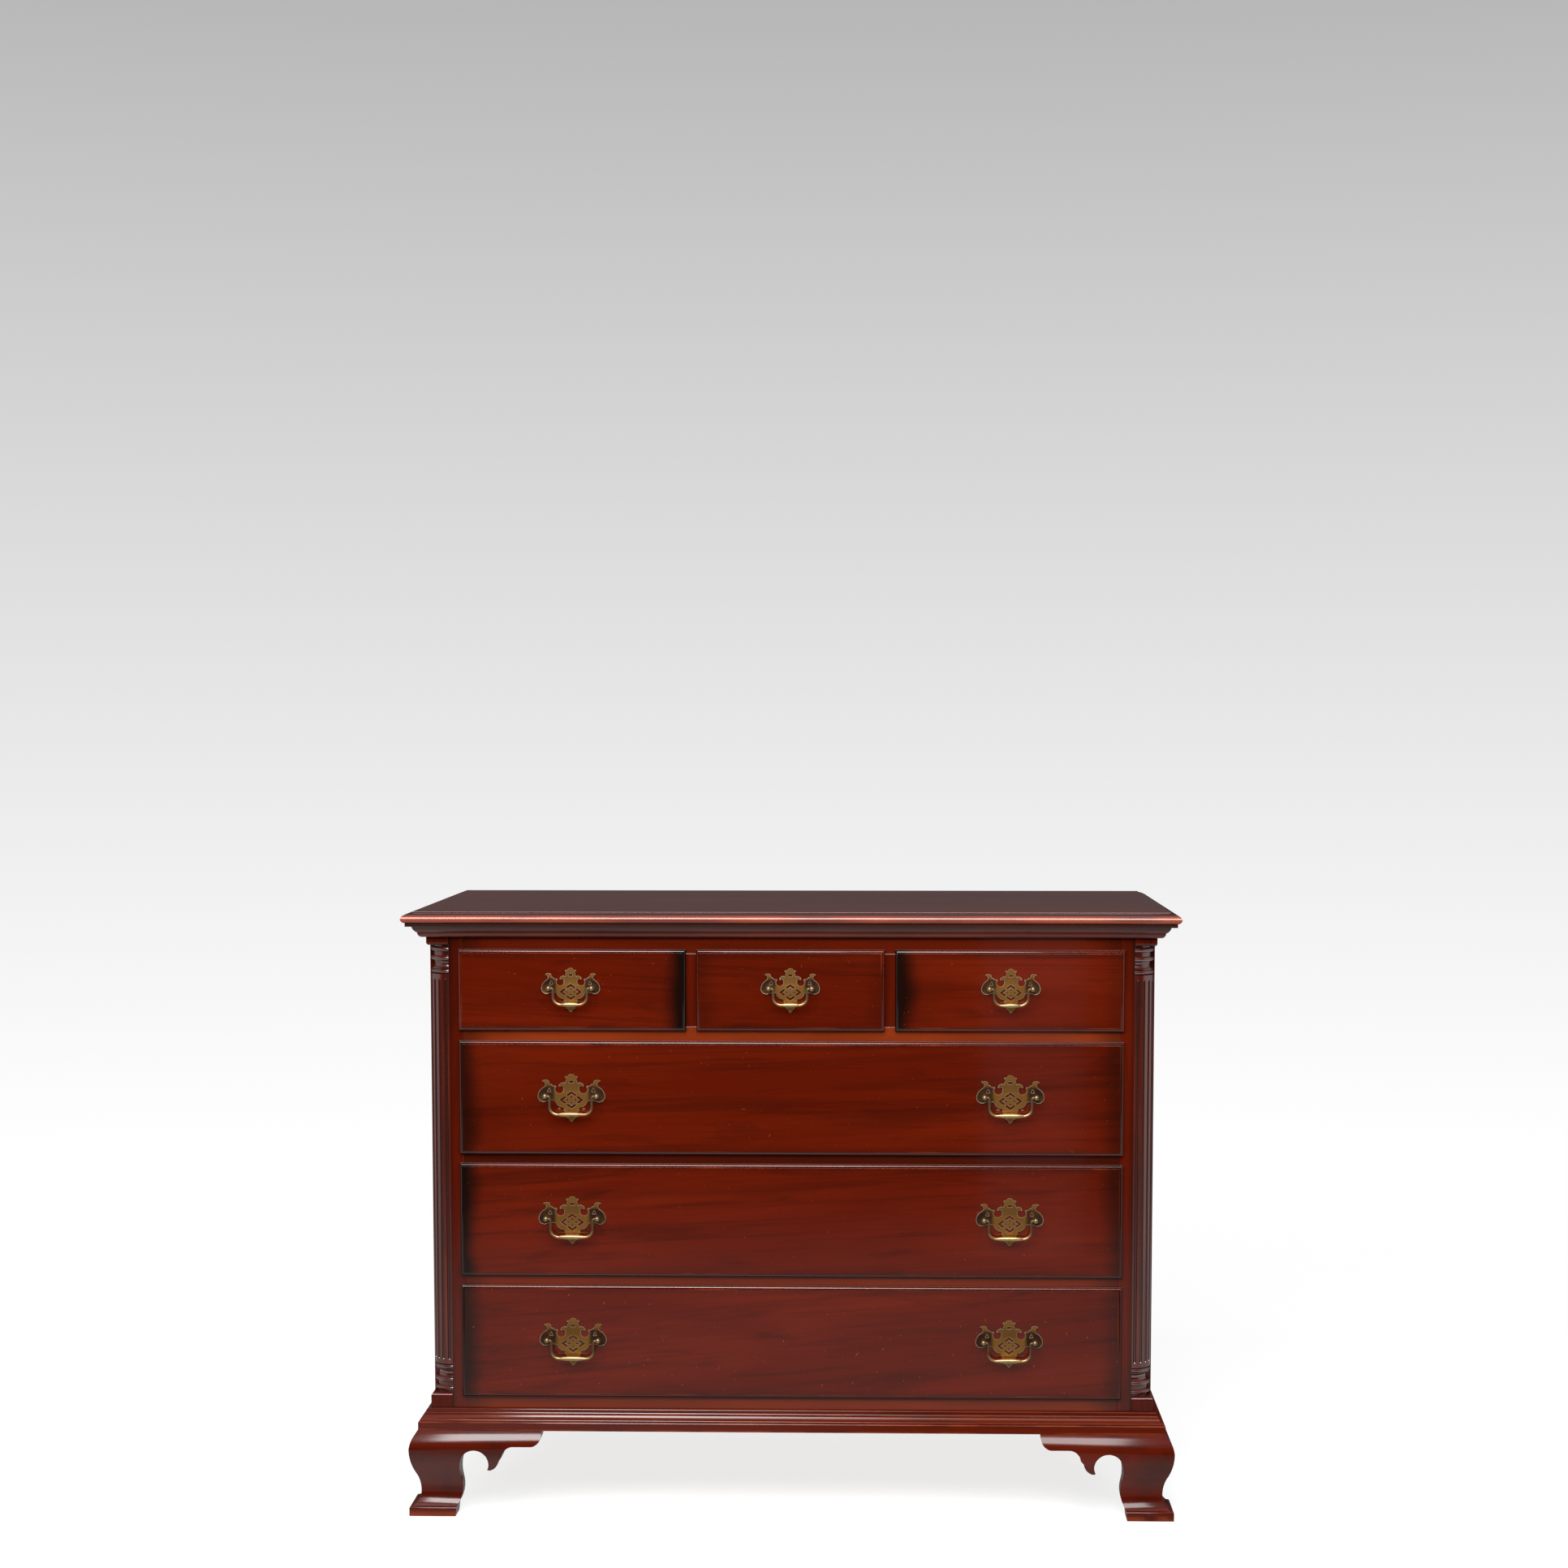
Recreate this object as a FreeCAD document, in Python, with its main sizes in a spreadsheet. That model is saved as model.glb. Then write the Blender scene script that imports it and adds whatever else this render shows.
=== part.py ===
import FreeCAD, Part

import math
import os
from types import SimpleNamespace

import Sketcher
from FreeCAD import Placement, Rotation, Vector

# Mahogany chest with three small drawers over three long ones, lipped drawer fronts,
# fluted quarter columns, moulded top and base, ogee bracket feet and brass bail pulls.
# Frame: +Z up, front towards -Y, origin on the floor under the middle of the top.

# Driving dimensions in millimetres
SIZES = {
    # Carcase
    "case_width": 1080,
    "case_depth": 508,
    "side_thickness": 19,
    "back_thickness": 6,
    "back_rabbet": 8,
    "post_depth": 50,
    "stile_width": 21.3,
    "tongue_thickness": 7,
    "tongue_length": 8,
    # Rails and dividers
    "rail_depth": 60,
    "edge_rail_depth": 25,
    "rail_thickness": 25.4,
    "upper_rail_thickness": 27,
    "bottom_rail_height": 42.6,
    "top_rail_height": 46,
    "long_opening_height": 158,
    "small_opening_height": 109,
    "middle_opening_width": 267.2,
    "divider_thickness": 27,
    "tenon_length": 12,
    "tenon_thickness": 10,
    "tenon_setback": 8,
    "tenon_shoulder": 5,
    # Runners, guides and dust boards inside the case
    "runner_reach": 32,
    "runner_dado": 6,
    "guide_height": 22,
    "dust_thickness": 5,
    "dust_groove": 6,
    "floor_thickness": 12,
    # Top board and cornice
    "top_thickness": 16.5,
    "top_overhang": 33.5,
    "top_back_overhang": 8,
    "top_edge_width": 15.5,
    "cornice_height": 22,
    "cornice_reach": 27.5,
    # Quarter columns and their blocks
    "column_radius": 32,
    "column_inset": 1.3,
    "column_cap_height": 50,
    "flute_radius": 2.4,
    "flute_pitch_angle": 18,
    "block_proud": 0.6,
    "block_round": 4.5,
    "upper_block_height": 12.4,
    "lower_block_height": 21.5,
    # Base frame and feet
    "base_height": 31,
    "base_projection": 18.1,
    "base_frame_thickness": 12.5,
    "base_frame_width": 56,
    "foot_height": 127.5,
    "foot_knee": 30.8,
    "foot_thickness": 38,
    "foot_wing": 198,
    "foot_block": 24,
    "rear_bracket_thickness": 20,
    # Drawers
    "lip_overlap": 6,
    "lip_thickness": 9,
    "lip_gap": 0.3,
    "lip_edge": 2,
    "lip_step": 1.6,
    "lip_round": 5,
    "front_thickness": 13,
    "drawer_depth": 470,
    "drawer_side_gap": 1.5,
    "drawer_top_gap": 2,
    "drawer_run_gap": 0.3,
    "drawer_side_thickness": 13,
    "drawer_back_thickness": 13,
    "drawer_back_dado": 5,
    "drawer_bottom_thickness": 5,
    "drawer_bottom_rise": 12,
    "drawer_groove": 6,
    "tail_length": 10,
    "tail_width": 14,
    "tail_flare": 3,
    # Pulls
    "plate_width": 100,
    "plate_height": 71.5,
    "plate_thickness": 1.6,
    "pull_rise": 4,
    "pull_outset": 1.4,
    "pull_boring": 76.2,
    "bail_span": 62.5,
    "bail_drop": 27,
    "small_plate_width": 87,
    "small_plate_height": 66,
    "small_pull_boring": 63.5,
    "small_bail_span": 50,
    "small_bail_drop": 24,
    "bail_wire_radius": 1.9,
    "bail_grip_radius": 3.5,
    "bail_elbow_radius": 2.6,
    "bail_corner_radius": 12,
    "bail_pin_depth": 2.5,
    "bail_pin_clearance": 0.08,
    "pull_post_reach": 13,
    "pull_ball_radius": 4,
    "pull_neck_radius": 2.6,
    "pull_collar_radius": 4.2,
    "pull_collar_thickness": 1.5,
    "pull_shank_radius": 2.4,
    "pull_shank_clearance": 0.1,
    "pull_nut_radius": 4.6,
    "pull_nut_thickness": 4,
    "pull_shank_end": 2,
    # Every cut passes its face by this much
    "overrun": 5,
}

ALONG_Y = Rotation(Vector(1, 0, 0), -90)
LONG_TAILS = 4
SMALL_TAILS = 3
FLUTES = 5

# Rise of an arc as a share of its chord, for a quarter circle
QUARTER_SHARE = 0.2071

# Outlines: (across, up, rise of the arc that ends here) as shares of the piece's own sizes.
# A rise above zero swells out of the solid and one below zero cuts into it.
TOP_EDGE_SHARES = [
    (1.0, 1.0), (1.0, 0.93), (0.26, 0.71, 0.05), (0.0, 0.39, 0.1), (0.39, 0.0, 0.18),
]
CORNICE_SHARES = [
    (0.0, 0.0), (0.2, 0.0), (0.43, 0.33, 0.2), (0.47, 0.35), (0.69, 0.72, 0.1), (0.73, 0.76), (1.0, 0.76),
    (1.0, 1.0), (0.0, 1.0),
]
BASE_SHARES = [
    (1.0, 0.0), (1.0, 0.335), (0.9, 0.43, 0.2), (0.86, 0.43), (0.8, 0.53, 0.25), (0.76, 0.53),
    (0.46, 0.76, -0.12), (0.41, 0.76), (0.33, 0.9, -0.15), (0.3, 0.9), (0.24, 1.0, 0.2), (0.0, 1.0),
]
FOOT_OGEE_SHARES = [
    (0.99, 0.0), (0.99, 0.09), (0.93, 0.108, 0.2), (0.82, 0.112), (0.474, 0.255, -0.12),
    (0.66, 0.485, -0.065), (1.0, 0.785, 0.06), (0.575, 1.0, 0.095),
]
FOOT_SCROLL_SHARES = [
    (0.0, 0.0), (0.352, 0.0), (0.36, 0.115), (0.39, 0.43, 0.11), (0.401, 0.708, -0.08),
    (0.589, 0.539, -0.48), (0.611, 0.533), (0.679, 0.664, 0.15), (0.702, 0.703),
    (0.792, 0.83, -0.2), (0.925, 0.83), (1.0, 0.975, 0.2), (1.0, 1.0), (0.0, 1.0),
]
COLUMN_CAP_SHARES = [
    (0.87, 0.0), (0.87, 0.045), (0.9, 0.06), (0.9, 0.19, 0.45), (0.86, 0.2), (0.86, 0.32), (0.9, 0.33),
    (0.9, 0.46, 0.45), (0.84, 0.47), (0.84, 0.5), (0.95, 0.69, -0.2), (0.95, 0.715), (0.9, 0.72),
    (0.9, 0.85, 0.45), (1.0, 0.87),
]
GRIP_SWELL_SHARE = 0.03
BALL_NECK_SHARE = 0.76
BALL_RISE_SHARE = 0.349

# Half outline of the pull's back plate from the crown down: across is a share of half the
# width, up is a share of the height, counted from a line a little below the two posts
PLATE_SHARES = [
    (0.0, 0.4745), (0.11, 0.418, 0.21), (0.139, 0.433), (0.192, 0.411, 0.2), (0.143, 0.388, 0.2),
    (0.202, 0.27, -0.05), (0.22, 0.294, 0.2), (0.278, 0.286, 0.3), (0.37, 0.237, 0.2),
    (0.341, 0.216, 0.3), (0.261, 0.224, -0.15), (0.231, 0.194, -0.2), (0.231, 0.143),
    (0.48, 0.143, -0.4), (0.476, 0.189), (0.451, 0.209, 0.2), (0.502, 0.227, 0.3), (0.575, 0.245, -0.1),
    (0.637, 0.268, 0.2), (0.663, 0.325, -0.08), (0.7, 0.344, 0.2), (0.78, 0.35, 0.15),
    (0.865, 0.323, 0.2), (0.798, 0.3, -0.15), (0.777, 0.243, -0.15), (0.817, 0.206, -0.1),
    (1.0, 0.005, 0.14), (0.795, -0.107, 0.22), (0.473, -0.09, -0.1), (0.239, -0.219, 0.2),
    (0.231, -0.23), (0.183, -0.327, 0.1), (0.142, -0.437, -0.05), (0.088, -0.454), (0.0, -0.5255, 0.08),
]
CROWN_WINDOW_SHARES = [(-0.075, 0.29), (0.075, 0.29), (0.065, 0.342), (-0.065, 0.342)]
WING_WINDOW_SHARES = [(0.6, 0.105), (0.715, 0.108), (0.655, 0.185)]
POST_LINE_SHARE = 0.028
LATTICE_CENTRE_SHARE = -0.065
LATTICE_WIDE_SHARE = 1.09
LATTICE_LOW_SHARE = 0.8
LATTICE_OUTER_SHARE = 0.233
LATTICE_INNER_SHARE = 0.163
LATTICE_ARM_SHARE = 0.1
DIAMOND_PLACE_SHARE = 0.077
DIAMOND_SIZE_SHARE = 0.031

doc = FreeCAD.newDocument("chest_of_drawers")
sheet = doc.addObject("Spreadsheet::Sheet", "Sizes")
for row, (alias, number) in enumerate(SIZES.items(), start=1):
    sheet.set(f"A{row}", str(number))
    sheet.setAlias(f"A{row}", alias)
doc.recompute()


class Length:
    """A length in millimetres together with the sheet formula that gives it."""

    def __init__(self, number, formula):
        self.number = number
        self.formula = formula

    def __add__(self, other):
        return Length(self.number + other.number, f"({self.formula} + {other.formula})")

    def __sub__(self, other):
        return Length(self.number - other.number, f"({self.formula} - {other.formula})")

    def __neg__(self):
        return Length(-self.number, f"(0 - {self.formula})")

    def __mul__(self, share):
        return Length(self.number * share, f"({self.formula} * ({share}))")

    def __truediv__(self, share):
        return Length(self.number / share, f"({self.formula} / {share})")

    def chord(self, other):
        """Straight distance for a step of this length across and the other up."""
        return Length(
            math.hypot(self.number, other.number), f"sqrt({self.formula}^2 + {other.formula}^2)"
        )


zero = Length(0.0, "0")
size = SimpleNamespace(**{alias: Length(float(sheet.get(alias)), f"Sizes.{alias}") for alias in SIZES})
nodes = []


def bind(item, place, length):
    item.setExpression(place, length.formula)


def bind_place(item, x, y, z):
    for axis, length in zip("xyz", (x, y, z)):
        bind(item, f"Placement.Base.{axis}", length)


def node(label, item):
    """Name a finished sub-part after its file."""
    item.Label = label
    nodes.append(item)


def box(name, x, y, z):
    """Block given by its low and high side on each axis."""
    block = doc.addObject("Part::Box", name)
    for side, (low, high) in zip(("Length", "Width", "Height"), (x, y, z)):
        bind(block, side, high - low)
    bind_place(block, x[0], y[0], z[0])
    return block


def rod(name, x, y, z, radius):
    """Cylinder along Y: y is its low and high end."""
    cylinder = doc.addObject("Part::Cylinder", name)
    cylinder.Placement = Placement(Vector(), ALONG_Y)
    bind(cylinder, "Radius", radius)
    bind(cylinder, "Height", y[1] - y[0])
    bind_place(cylinder, x, y[0], z)
    return cylinder


def group(name, *pieces):
    compound = doc.addObject("Part::Compound", name)
    compound.Links = list(pieces)
    return compound


def cut(name, base, *tools):
    result = doc.addObject("Part::Cut", name)
    result.Base = base
    result.Tool = tools[0] if len(tools) == 1 else group(f"{name}_tools", *tools)
    return result


def fuse(name, *pieces):
    result = doc.addObject("Part::MultiFuse", name)
    result.Shapes = list(pieces)
    return result


def common(name, *pieces):
    result = doc.addObject("Part::MultiCommon", name)
    result.Shapes = list(pieces)
    return result


def mirror(name, source):
    """The same piece on the other side of the chest's middle plane."""
    result = doc.addObject("Part::Mirroring", name)
    result.Source = source
    result.Normal = Vector(1, 0, 0)
    return result


def placed(shares, across, up):
    """Outline from shares, each axis given by its start and its full, signed length."""
    def step(axis, share):
        return axis[0] + axis[1] * share if share else axis[0]

    way = 1 if across[1].number * up[1].number > 0 else -1
    return [
        (step(across, u), step(up, v), *(way * rise for rise in rises))
        for u, v, *rises in shares
    ]


def backwards(points):
    """The same run of points from its far end, where each arc turns the other way."""
    rises = [()] + [[-rise for rise in point[2:]] for point in reversed(points[1:])]
    return [(*point[:2], *rise) for point, rise in zip(reversed(points), rises)]


def fix_point(drawing, edge, point, u, v):
    """Hold a sketch point at its distances from the origin, or on an axis where one is zero."""
    for kind, length, axis in (("DistanceX", u, -2), ("DistanceY", v, -1)):
        if length is zero:
            drawing.addConstraint(Sketcher.Constraint("PointOnObject", edge, point, axis))
        else:
            mark = drawing.addConstraint(Sketcher.Constraint(kind, -1, 1, edge, point, length.number))
            drawing.setExpression(f"Constraints[{mark}]", length.formula)


def fix_radius(drawing, edge, radius):
    mark = drawing.addConstraint(Sketcher.Constraint("Radius", edge, radius.number))
    drawing.setExpression(f"Constraints[{mark}]", radius.formula)


def draw_edge(drawing, before, point):
    """Line or arc between two points of an outline, and which of its ends come first and last."""
    start, end = (Vector(place[0].number, place[1].number, 0) for place in (before, point))
    if len(point) < 3:
        return drawing.addGeometry(Part.LineSegment(start, end)), 1, 2
    rise = point[2]
    chord = end - start
    radius_per_chord = (0.25 + rise ** 2) / (2 * abs(rise))
    radius = (point[0] - before[0]).chord(point[1] - before[1]) * radius_per_chord
    sagitta = abs(rise) * chord.Length
    outward = Vector(chord.y, -chord.x, 0).normalize() * math.copysign(1, rise)
    centre = (start + end) / 2 - outward * (radius.number - sagitta)
    ends = (start, end) if rise > 0 else (end, start)
    angles = [math.atan2(place.y - centre.y, place.x - centre.x) for place in ends]
    circle = Part.Circle(centre, Vector(0, 0, 1), radius.number)
    edge = drawing.addGeometry(Part.ArcOfCircle(circle, *angles))
    fix_radius(drawing, edge, radius)
    return (edge, 1, 2) if rise > 0 else (edge, 2, 1)


def draw(drawing, points, closed=True):
    """Run of lines and arcs in a sketch, with every corner and radius bound to the sheet."""
    edges = []
    for before, point in zip(points[-1:] + points[:-1], points) if closed else zip(points, points[1:]):
        edge, first, last = draw_edge(drawing, before, point)
        fix_point(drawing, edge, last, *point[:2])
        edges.append((edge, first, last))
    if not closed:
        fix_point(drawing, *edges[0][:2], *points[0][:2])
    for before, after in zip(edges[-1:] + edges[:-1], edges) if closed else zip(edges, edges[1:]):
        drawing.addConstraint(Sketcher.Constraint("Coincident", before[0], before[2], *after[:2]))


def draw_circle(drawing, u, v, radius):
    circle = Part.Circle(Vector(u.number, v.number, 0), Vector(0, 0, 1), radius.number)
    edge = drawing.addGeometry(circle)
    fix_point(drawing, edge, 3, u, v)
    fix_radius(drawing, edge, radius)


def draw_axis(drawing, start, end):
    """Construction line that a profile in the same sketch turns about."""
    ends = [Vector(u.number, v.number, 0) for u, v in (start, end)]
    edge = drawing.addGeometry(Part.LineSegment(*ends), True)
    fix_point(drawing, edge, 1, *start)
    fix_point(drawing, edge, 2, *end)


def turn(body, name, drawing, axis, kind="Revolution", angle=360):
    """Turn a sketch about one of its axes, to add material or to cut it away."""
    feature = body.newObject(f"PartDesign::{kind}", name)
    feature.Profile = drawing
    feature.ReferenceAxis = (drawing, [axis])
    feature.Angle = angle
    return feature


def sketch(body, name, plane, *outlines):
    """Sketch on one of a body's own origin planes."""
    drawing = body.newObject("Sketcher::SketchObject", name)
    support = next(item for item in body.Origin.OriginFeatures if item.Role == f"{plane}_Plane")
    drawing.AttachmentSupport = [(support, "")]
    drawing.MapMode = "FlatFace"
    for outline in outlines:
        draw(drawing, outline)
    return drawing


def prism(name, plane, outline, span):
    """Pad of an outline, from the low to the high end of its span across the plane."""
    body = doc.addObject("PartDesign::Body", name)
    pad = body.newObject("PartDesign::Pad", f"{name}_pad")
    pad.Profile = sketch(body, f"{name}_sketch", plane, outline)
    pad.Reversed = plane == "XZ"  # this plane faces -Y
    bind(pad, "Length", span[1] - span[0])
    axis = {"XY": "z", "XZ": "y", "YZ": "x"}[plane]
    bind(body, f"Placement.Base.{axis}", span[0])
    return body


# Planes that the pieces share
case_half = size.case_width / 2
opening_half = case_half - size.column_radius - size.stile_width
inner_half = case_half - size.side_thickness
front = -(size.case_depth + size.top_back_overhang - size.top_overhang) / 2
back = front + size.case_depth
back_face = back - size.back_thickness
case_bottom = size.foot_height + size.base_frame_thickness
base_top = size.foot_height + size.base_height
lower_opening = case_bottom + size.bottom_rail_height
lower_rail = lower_opening + size.long_opening_height
centre_opening = lower_rail + size.rail_thickness
centre_rail = centre_opening + size.long_opening_height
upper_opening = centre_rail + size.rail_thickness
upper_rail = upper_opening + size.long_opening_height
small_opening = upper_rail + size.upper_rail_thickness
top_rail = small_opening + size.small_opening_height
case_top = top_rail + size.top_rail_height
cornice_bottom = case_top - size.cornice_height
middle_half = size.middle_opening_width / 2
divider_far = middle_half + size.divider_thickness
outer_pull = (opening_half + divider_far) / 2 + size.pull_outset
runner_end = opening_half - size.runner_reach
rail_back = front + size.rail_depth
case_span = (-opening_half, opening_half)


def top_board():
    """Top with a stepped and rounded edge on the front and both ends."""
    upper = case_top + size.top_thickness
    edge = case_half + size.top_overhang
    lead = front - size.top_overhang
    rear = back + size.top_back_overhang
    up = (case_top, size.top_thickness)
    along = prism("top_along", "YZ", [
        (rear, upper), *placed(TOP_EDGE_SHARES, (lead, size.top_edge_width), up), (rear, case_top),
    ], (-edge, edge))
    across = prism("top_across", "XZ", [
        *placed(TOP_EDGE_SHARES, (-edge, size.top_edge_width), up),
        *backwards(placed(TOP_EDGE_SHARES, (edge, -size.top_edge_width), up)),
    ], (lead, rear))
    node("top_board", common("top_common", along, across))


def moulding(name, section, depth, inset, z):
    """Front length and two returns of a moulding, mitred at the front corners."""
    lead, side = front - depth, case_half + depth
    deep, near = front + inset, case_half - inset
    long_run = prism(f"{name}_long", "YZ", section(front), (-side, side))
    long_plan = prism(f"{name}_long_plan", "XY", [
        (-near, deep), (-side, lead), (side, lead), (near, deep),
    ], z)
    short_run = prism(f"{name}_short", "XZ", section(-case_half), (lead, back))
    short_plan = prism(f"{name}_short_plan", "XY", [
        (-near, deep), (-near, back), (-side, back), (-side, lead),
    ], z)
    left = common(f"{name}_left", short_run, short_plan)
    return common(f"{name}_front", long_run, long_plan), left, mirror(f"{name}_right", left)


def cornice():
    def section(plane):
        return placed(CORNICE_SHARES, (plane, -size.cornice_reach), (cornice_bottom, size.cornice_height))

    lengths = moulding("cornice", section, size.cornice_reach, zero, (cornice_bottom, case_top))
    node("cornice_moulding", group("cornice", *lengths))


def base_frame():
    """Moulded base with a ledge that carries the case, closed by a plain rail behind."""
    def section(plane):
        moulded = placed(BASE_SHARES, (plane, -size.base_projection), (size.foot_height, size.base_height))
        ledge = plane + size.base_frame_width
        return moulded + [(plane, case_bottom), (ledge, case_bottom), (ledge, size.foot_height)]

    lengths = moulding("base", section, size.base_projection, size.base_frame_width,
                       (size.foot_height, base_top))
    near = case_half - size.base_frame_width
    rear = box("base_rear", (-near, near), (back - size.base_frame_width, back),
               (size.foot_height, case_bottom))
    node("base_moulding", group("base", *lengths, rear))


def rails():
    """Front rails with a tenon at each end, and the two stub-tenoned dividers."""
    tenon_y = (front + size.tenon_setback, front + size.tenon_setback + size.tenon_thickness)
    tenons, frames = [], {}
    for name, low, high, depth in (
        ("top_rail", top_rail, case_top, size.edge_rail_depth),
        ("upper_rail", upper_rail, small_opening, size.rail_depth),
        ("centre_rail", centre_rail, upper_opening, size.rail_depth),
        ("lower_rail", lower_rail, centre_opening, size.rail_depth),
        ("bottom_rail", case_bottom, lower_opening, size.edge_rail_depth),
    ):
        tenon_z = (low + size.tenon_shoulder, high - size.tenon_shoulder)
        left = box(f"{name}_left_tenon", (-opening_half - size.tenon_length, -opening_half), tenon_y, tenon_z)
        right = box(f"{name}_right_tenon", (opening_half, opening_half + size.tenon_length), tenon_y, tenon_z)
        blank = box(f"{name}_blank", case_span, (front, front + depth), (low, high))
        frames[name] = fuse(f"{name}_solid", blank, left, right)
        tenons.append(left)
    stubs, dividers = [], []
    for side, x in (("left", (-divider_far, -middle_half)), ("right", (middle_half, divider_far))):
        narrow = (x[0] + size.tenon_shoulder, x[1] - size.tenon_shoulder)
        stub = box(f"{side}_divider_stub", narrow, tenon_y,
                   (small_opening - size.tenon_shoulder, top_rail + size.tenon_shoulder))
        blank = box(f"{side}_divider_blank", x, (front, rail_back), (small_opening, top_rail))
        dividers.append(fuse(f"{side}_divider", blank, stub))
        stubs.append(stub)
    dust = dust_boards()
    node("top_rail", cut("top_rail_cut", frames["top_rail"], *stubs))
    node("drawer_rails", group(
        "drawer_rails",
        cut("upper_rail_cut", frames["upper_rail"], *stubs, *dust["upper"]),
        cut("centre_rail_cut", frames["centre_rail"], *dust["centre"]),
        cut("lower_rail_cut", frames["lower_rail"], *dust["lower"]),
    ))
    node("bottom_rail", frames["bottom_rail"])
    node("drawer_dividers", group("drawer_dividers", *dividers))
    return tenons, dust


def dust_boards():
    """Thin boards grooved into the rails and runners, and the floor of the case."""
    y = (rail_back - size.dust_groove, back_face)
    edge = runner_end + size.dust_groove
    near = middle_half - size.runner_reach + size.dust_groove
    far = divider_far + size.runner_reach - size.dust_groove
    boards = {}
    for level, low, high, spans in (
        ("upper", upper_rail, small_opening, ((-edge, -far), (-near, near), (far, edge))),
        ("centre", centre_rail, upper_opening, ((-edge, edge),)),
        ("lower", lower_rail, centre_opening, ((-edge, edge),)),
    ):
        low_face = (low + high - size.dust_thickness) / 2
        z = (low_face, low_face + size.dust_thickness)
        boards[level] = [box(f"{level}_dust_{index}", x, y, z) for index, x in enumerate(spans)]
    floor = box("case_floor", (-inner_half, inner_half), (front + size.edge_rail_depth, back_face),
                (case_bottom, case_bottom + size.floor_thickness))
    posts = [
        box(f"{side}_floor_notch", x, (front, front + size.post_depth),
            (case_bottom, case_bottom + size.floor_thickness))
        for side, x in (("left", (-inner_half, -opening_half)), ("right", (opening_half, inner_half)))
    ]
    boards["floor"] = [cut("case_floor_cut", floor, *posts)]
    node("dust_boards", group("dust_boards", *[board for level in boards.values() for board in level]))
    return boards


def runners(dust):
    """Bearers under the drawer sides, guides beside them and cleats under the top."""
    y = (rail_back, back_face)
    seat = inner_half + size.runner_dado
    bearers, guides, dadoes = [], [], []
    for level, high, thickness in (
        ("upper", small_opening, size.upper_rail_thickness),
        ("centre", upper_opening, size.rail_thickness),
        ("lower", centre_opening, size.rail_thickness),
        ("floor", lower_opening, size.rail_thickness),
    ):
        z = (high - thickness, high)
        guide_z = (high, high + size.guide_height)
        for side, x, guide_x in (
            ("left", (-seat, -runner_end), (-inner_half, -opening_half)),
            ("right", (runner_end, seat), (opening_half, inner_half)),
        ):
            blank = box(f"{level}_{side}_runner_blank", x, y, z)
            if side == "left":
                dadoes.append(blank)
            bearers.append(blank if level == "floor" else cut(f"{level}_{side}_runner", blank, *dust[level]))
            guides.append(box(f"{level}_{side}_guide", guide_x, y, guide_z))
    for side, x in (("left", (-divider_far, -middle_half)), ("right", (middle_half, divider_far))):
        wide = (x[0] - size.runner_reach, x[1] + size.runner_reach)
        blank = box(f"middle_{side}_runner_blank", wide, y, (upper_rail, small_opening))
        bearers.append(cut(f"middle_{side}_runner", blank, *dust["upper"]))
        guides.append(box(f"middle_{side}_guide", x, y, (small_opening, small_opening + size.guide_height)))
    cleat_z = (top_rail, case_top)
    post_back = front + size.post_depth
    cleats = [
        box("left_cleat", (-inner_half, -runner_end), (post_back, back_face), cleat_z),
        box("right_cleat", (runner_end, inner_half), (post_back, back_face), cleat_z),
    ]
    for side, x in (("left", (-divider_far, -middle_half)), ("right", (middle_half, divider_far))):
        cleats.append(box(f"middle_{side}_cleat", x, (front + size.edge_rail_depth, back_face), cleat_z))
    node("drawer_runners", group("drawer_runners", *bearers))
    node("drawer_guides", group("drawer_guides", *guides))
    node("top_cleats", group("top_cleats", *cleats))
    return dadoes


def carcase_sides(tenons, dadoes):
    """Corner posts, side boards tongued into them, and the back in its rabbets."""
    height = (case_bottom, case_top)
    post_back = front + size.post_depth
    back_board = box("back_board", (-inner_half - size.back_rabbet, inner_half + size.back_rabbet),
                     (back_face, back), height)
    node("back_panel", back_board)
    tongue_x = -case_half + (size.side_thickness - size.tongue_thickness) / 2
    tongue = box("side_tongue", (tongue_x, tongue_x + size.tongue_thickness),
                 (post_back - size.tongue_length, post_back), height)
    blank = box("side_blank", (-case_half, -inner_half), (post_back, back), height)
    side = cut("side_left_cut", fuse("side_left_solid", blank, tongue), back_board, *dadoes)
    node("side_left", side)
    node("side_right", mirror("side_right_mirror", side))
    notch = box("column_notch", (-case_half - size.overrun, -case_half + size.column_radius),
                (front - size.overrun, front + size.column_radius), (base_top, cornice_bottom))
    post_blank = box("post_blank", (-case_half, -opening_half), (front, post_back), height)
    post = cut("post_left_cut", post_blank, notch, tongue, *tenons)
    node("post_left", post)
    node("post_right", mirror("post_right_mirror", post))


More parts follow.
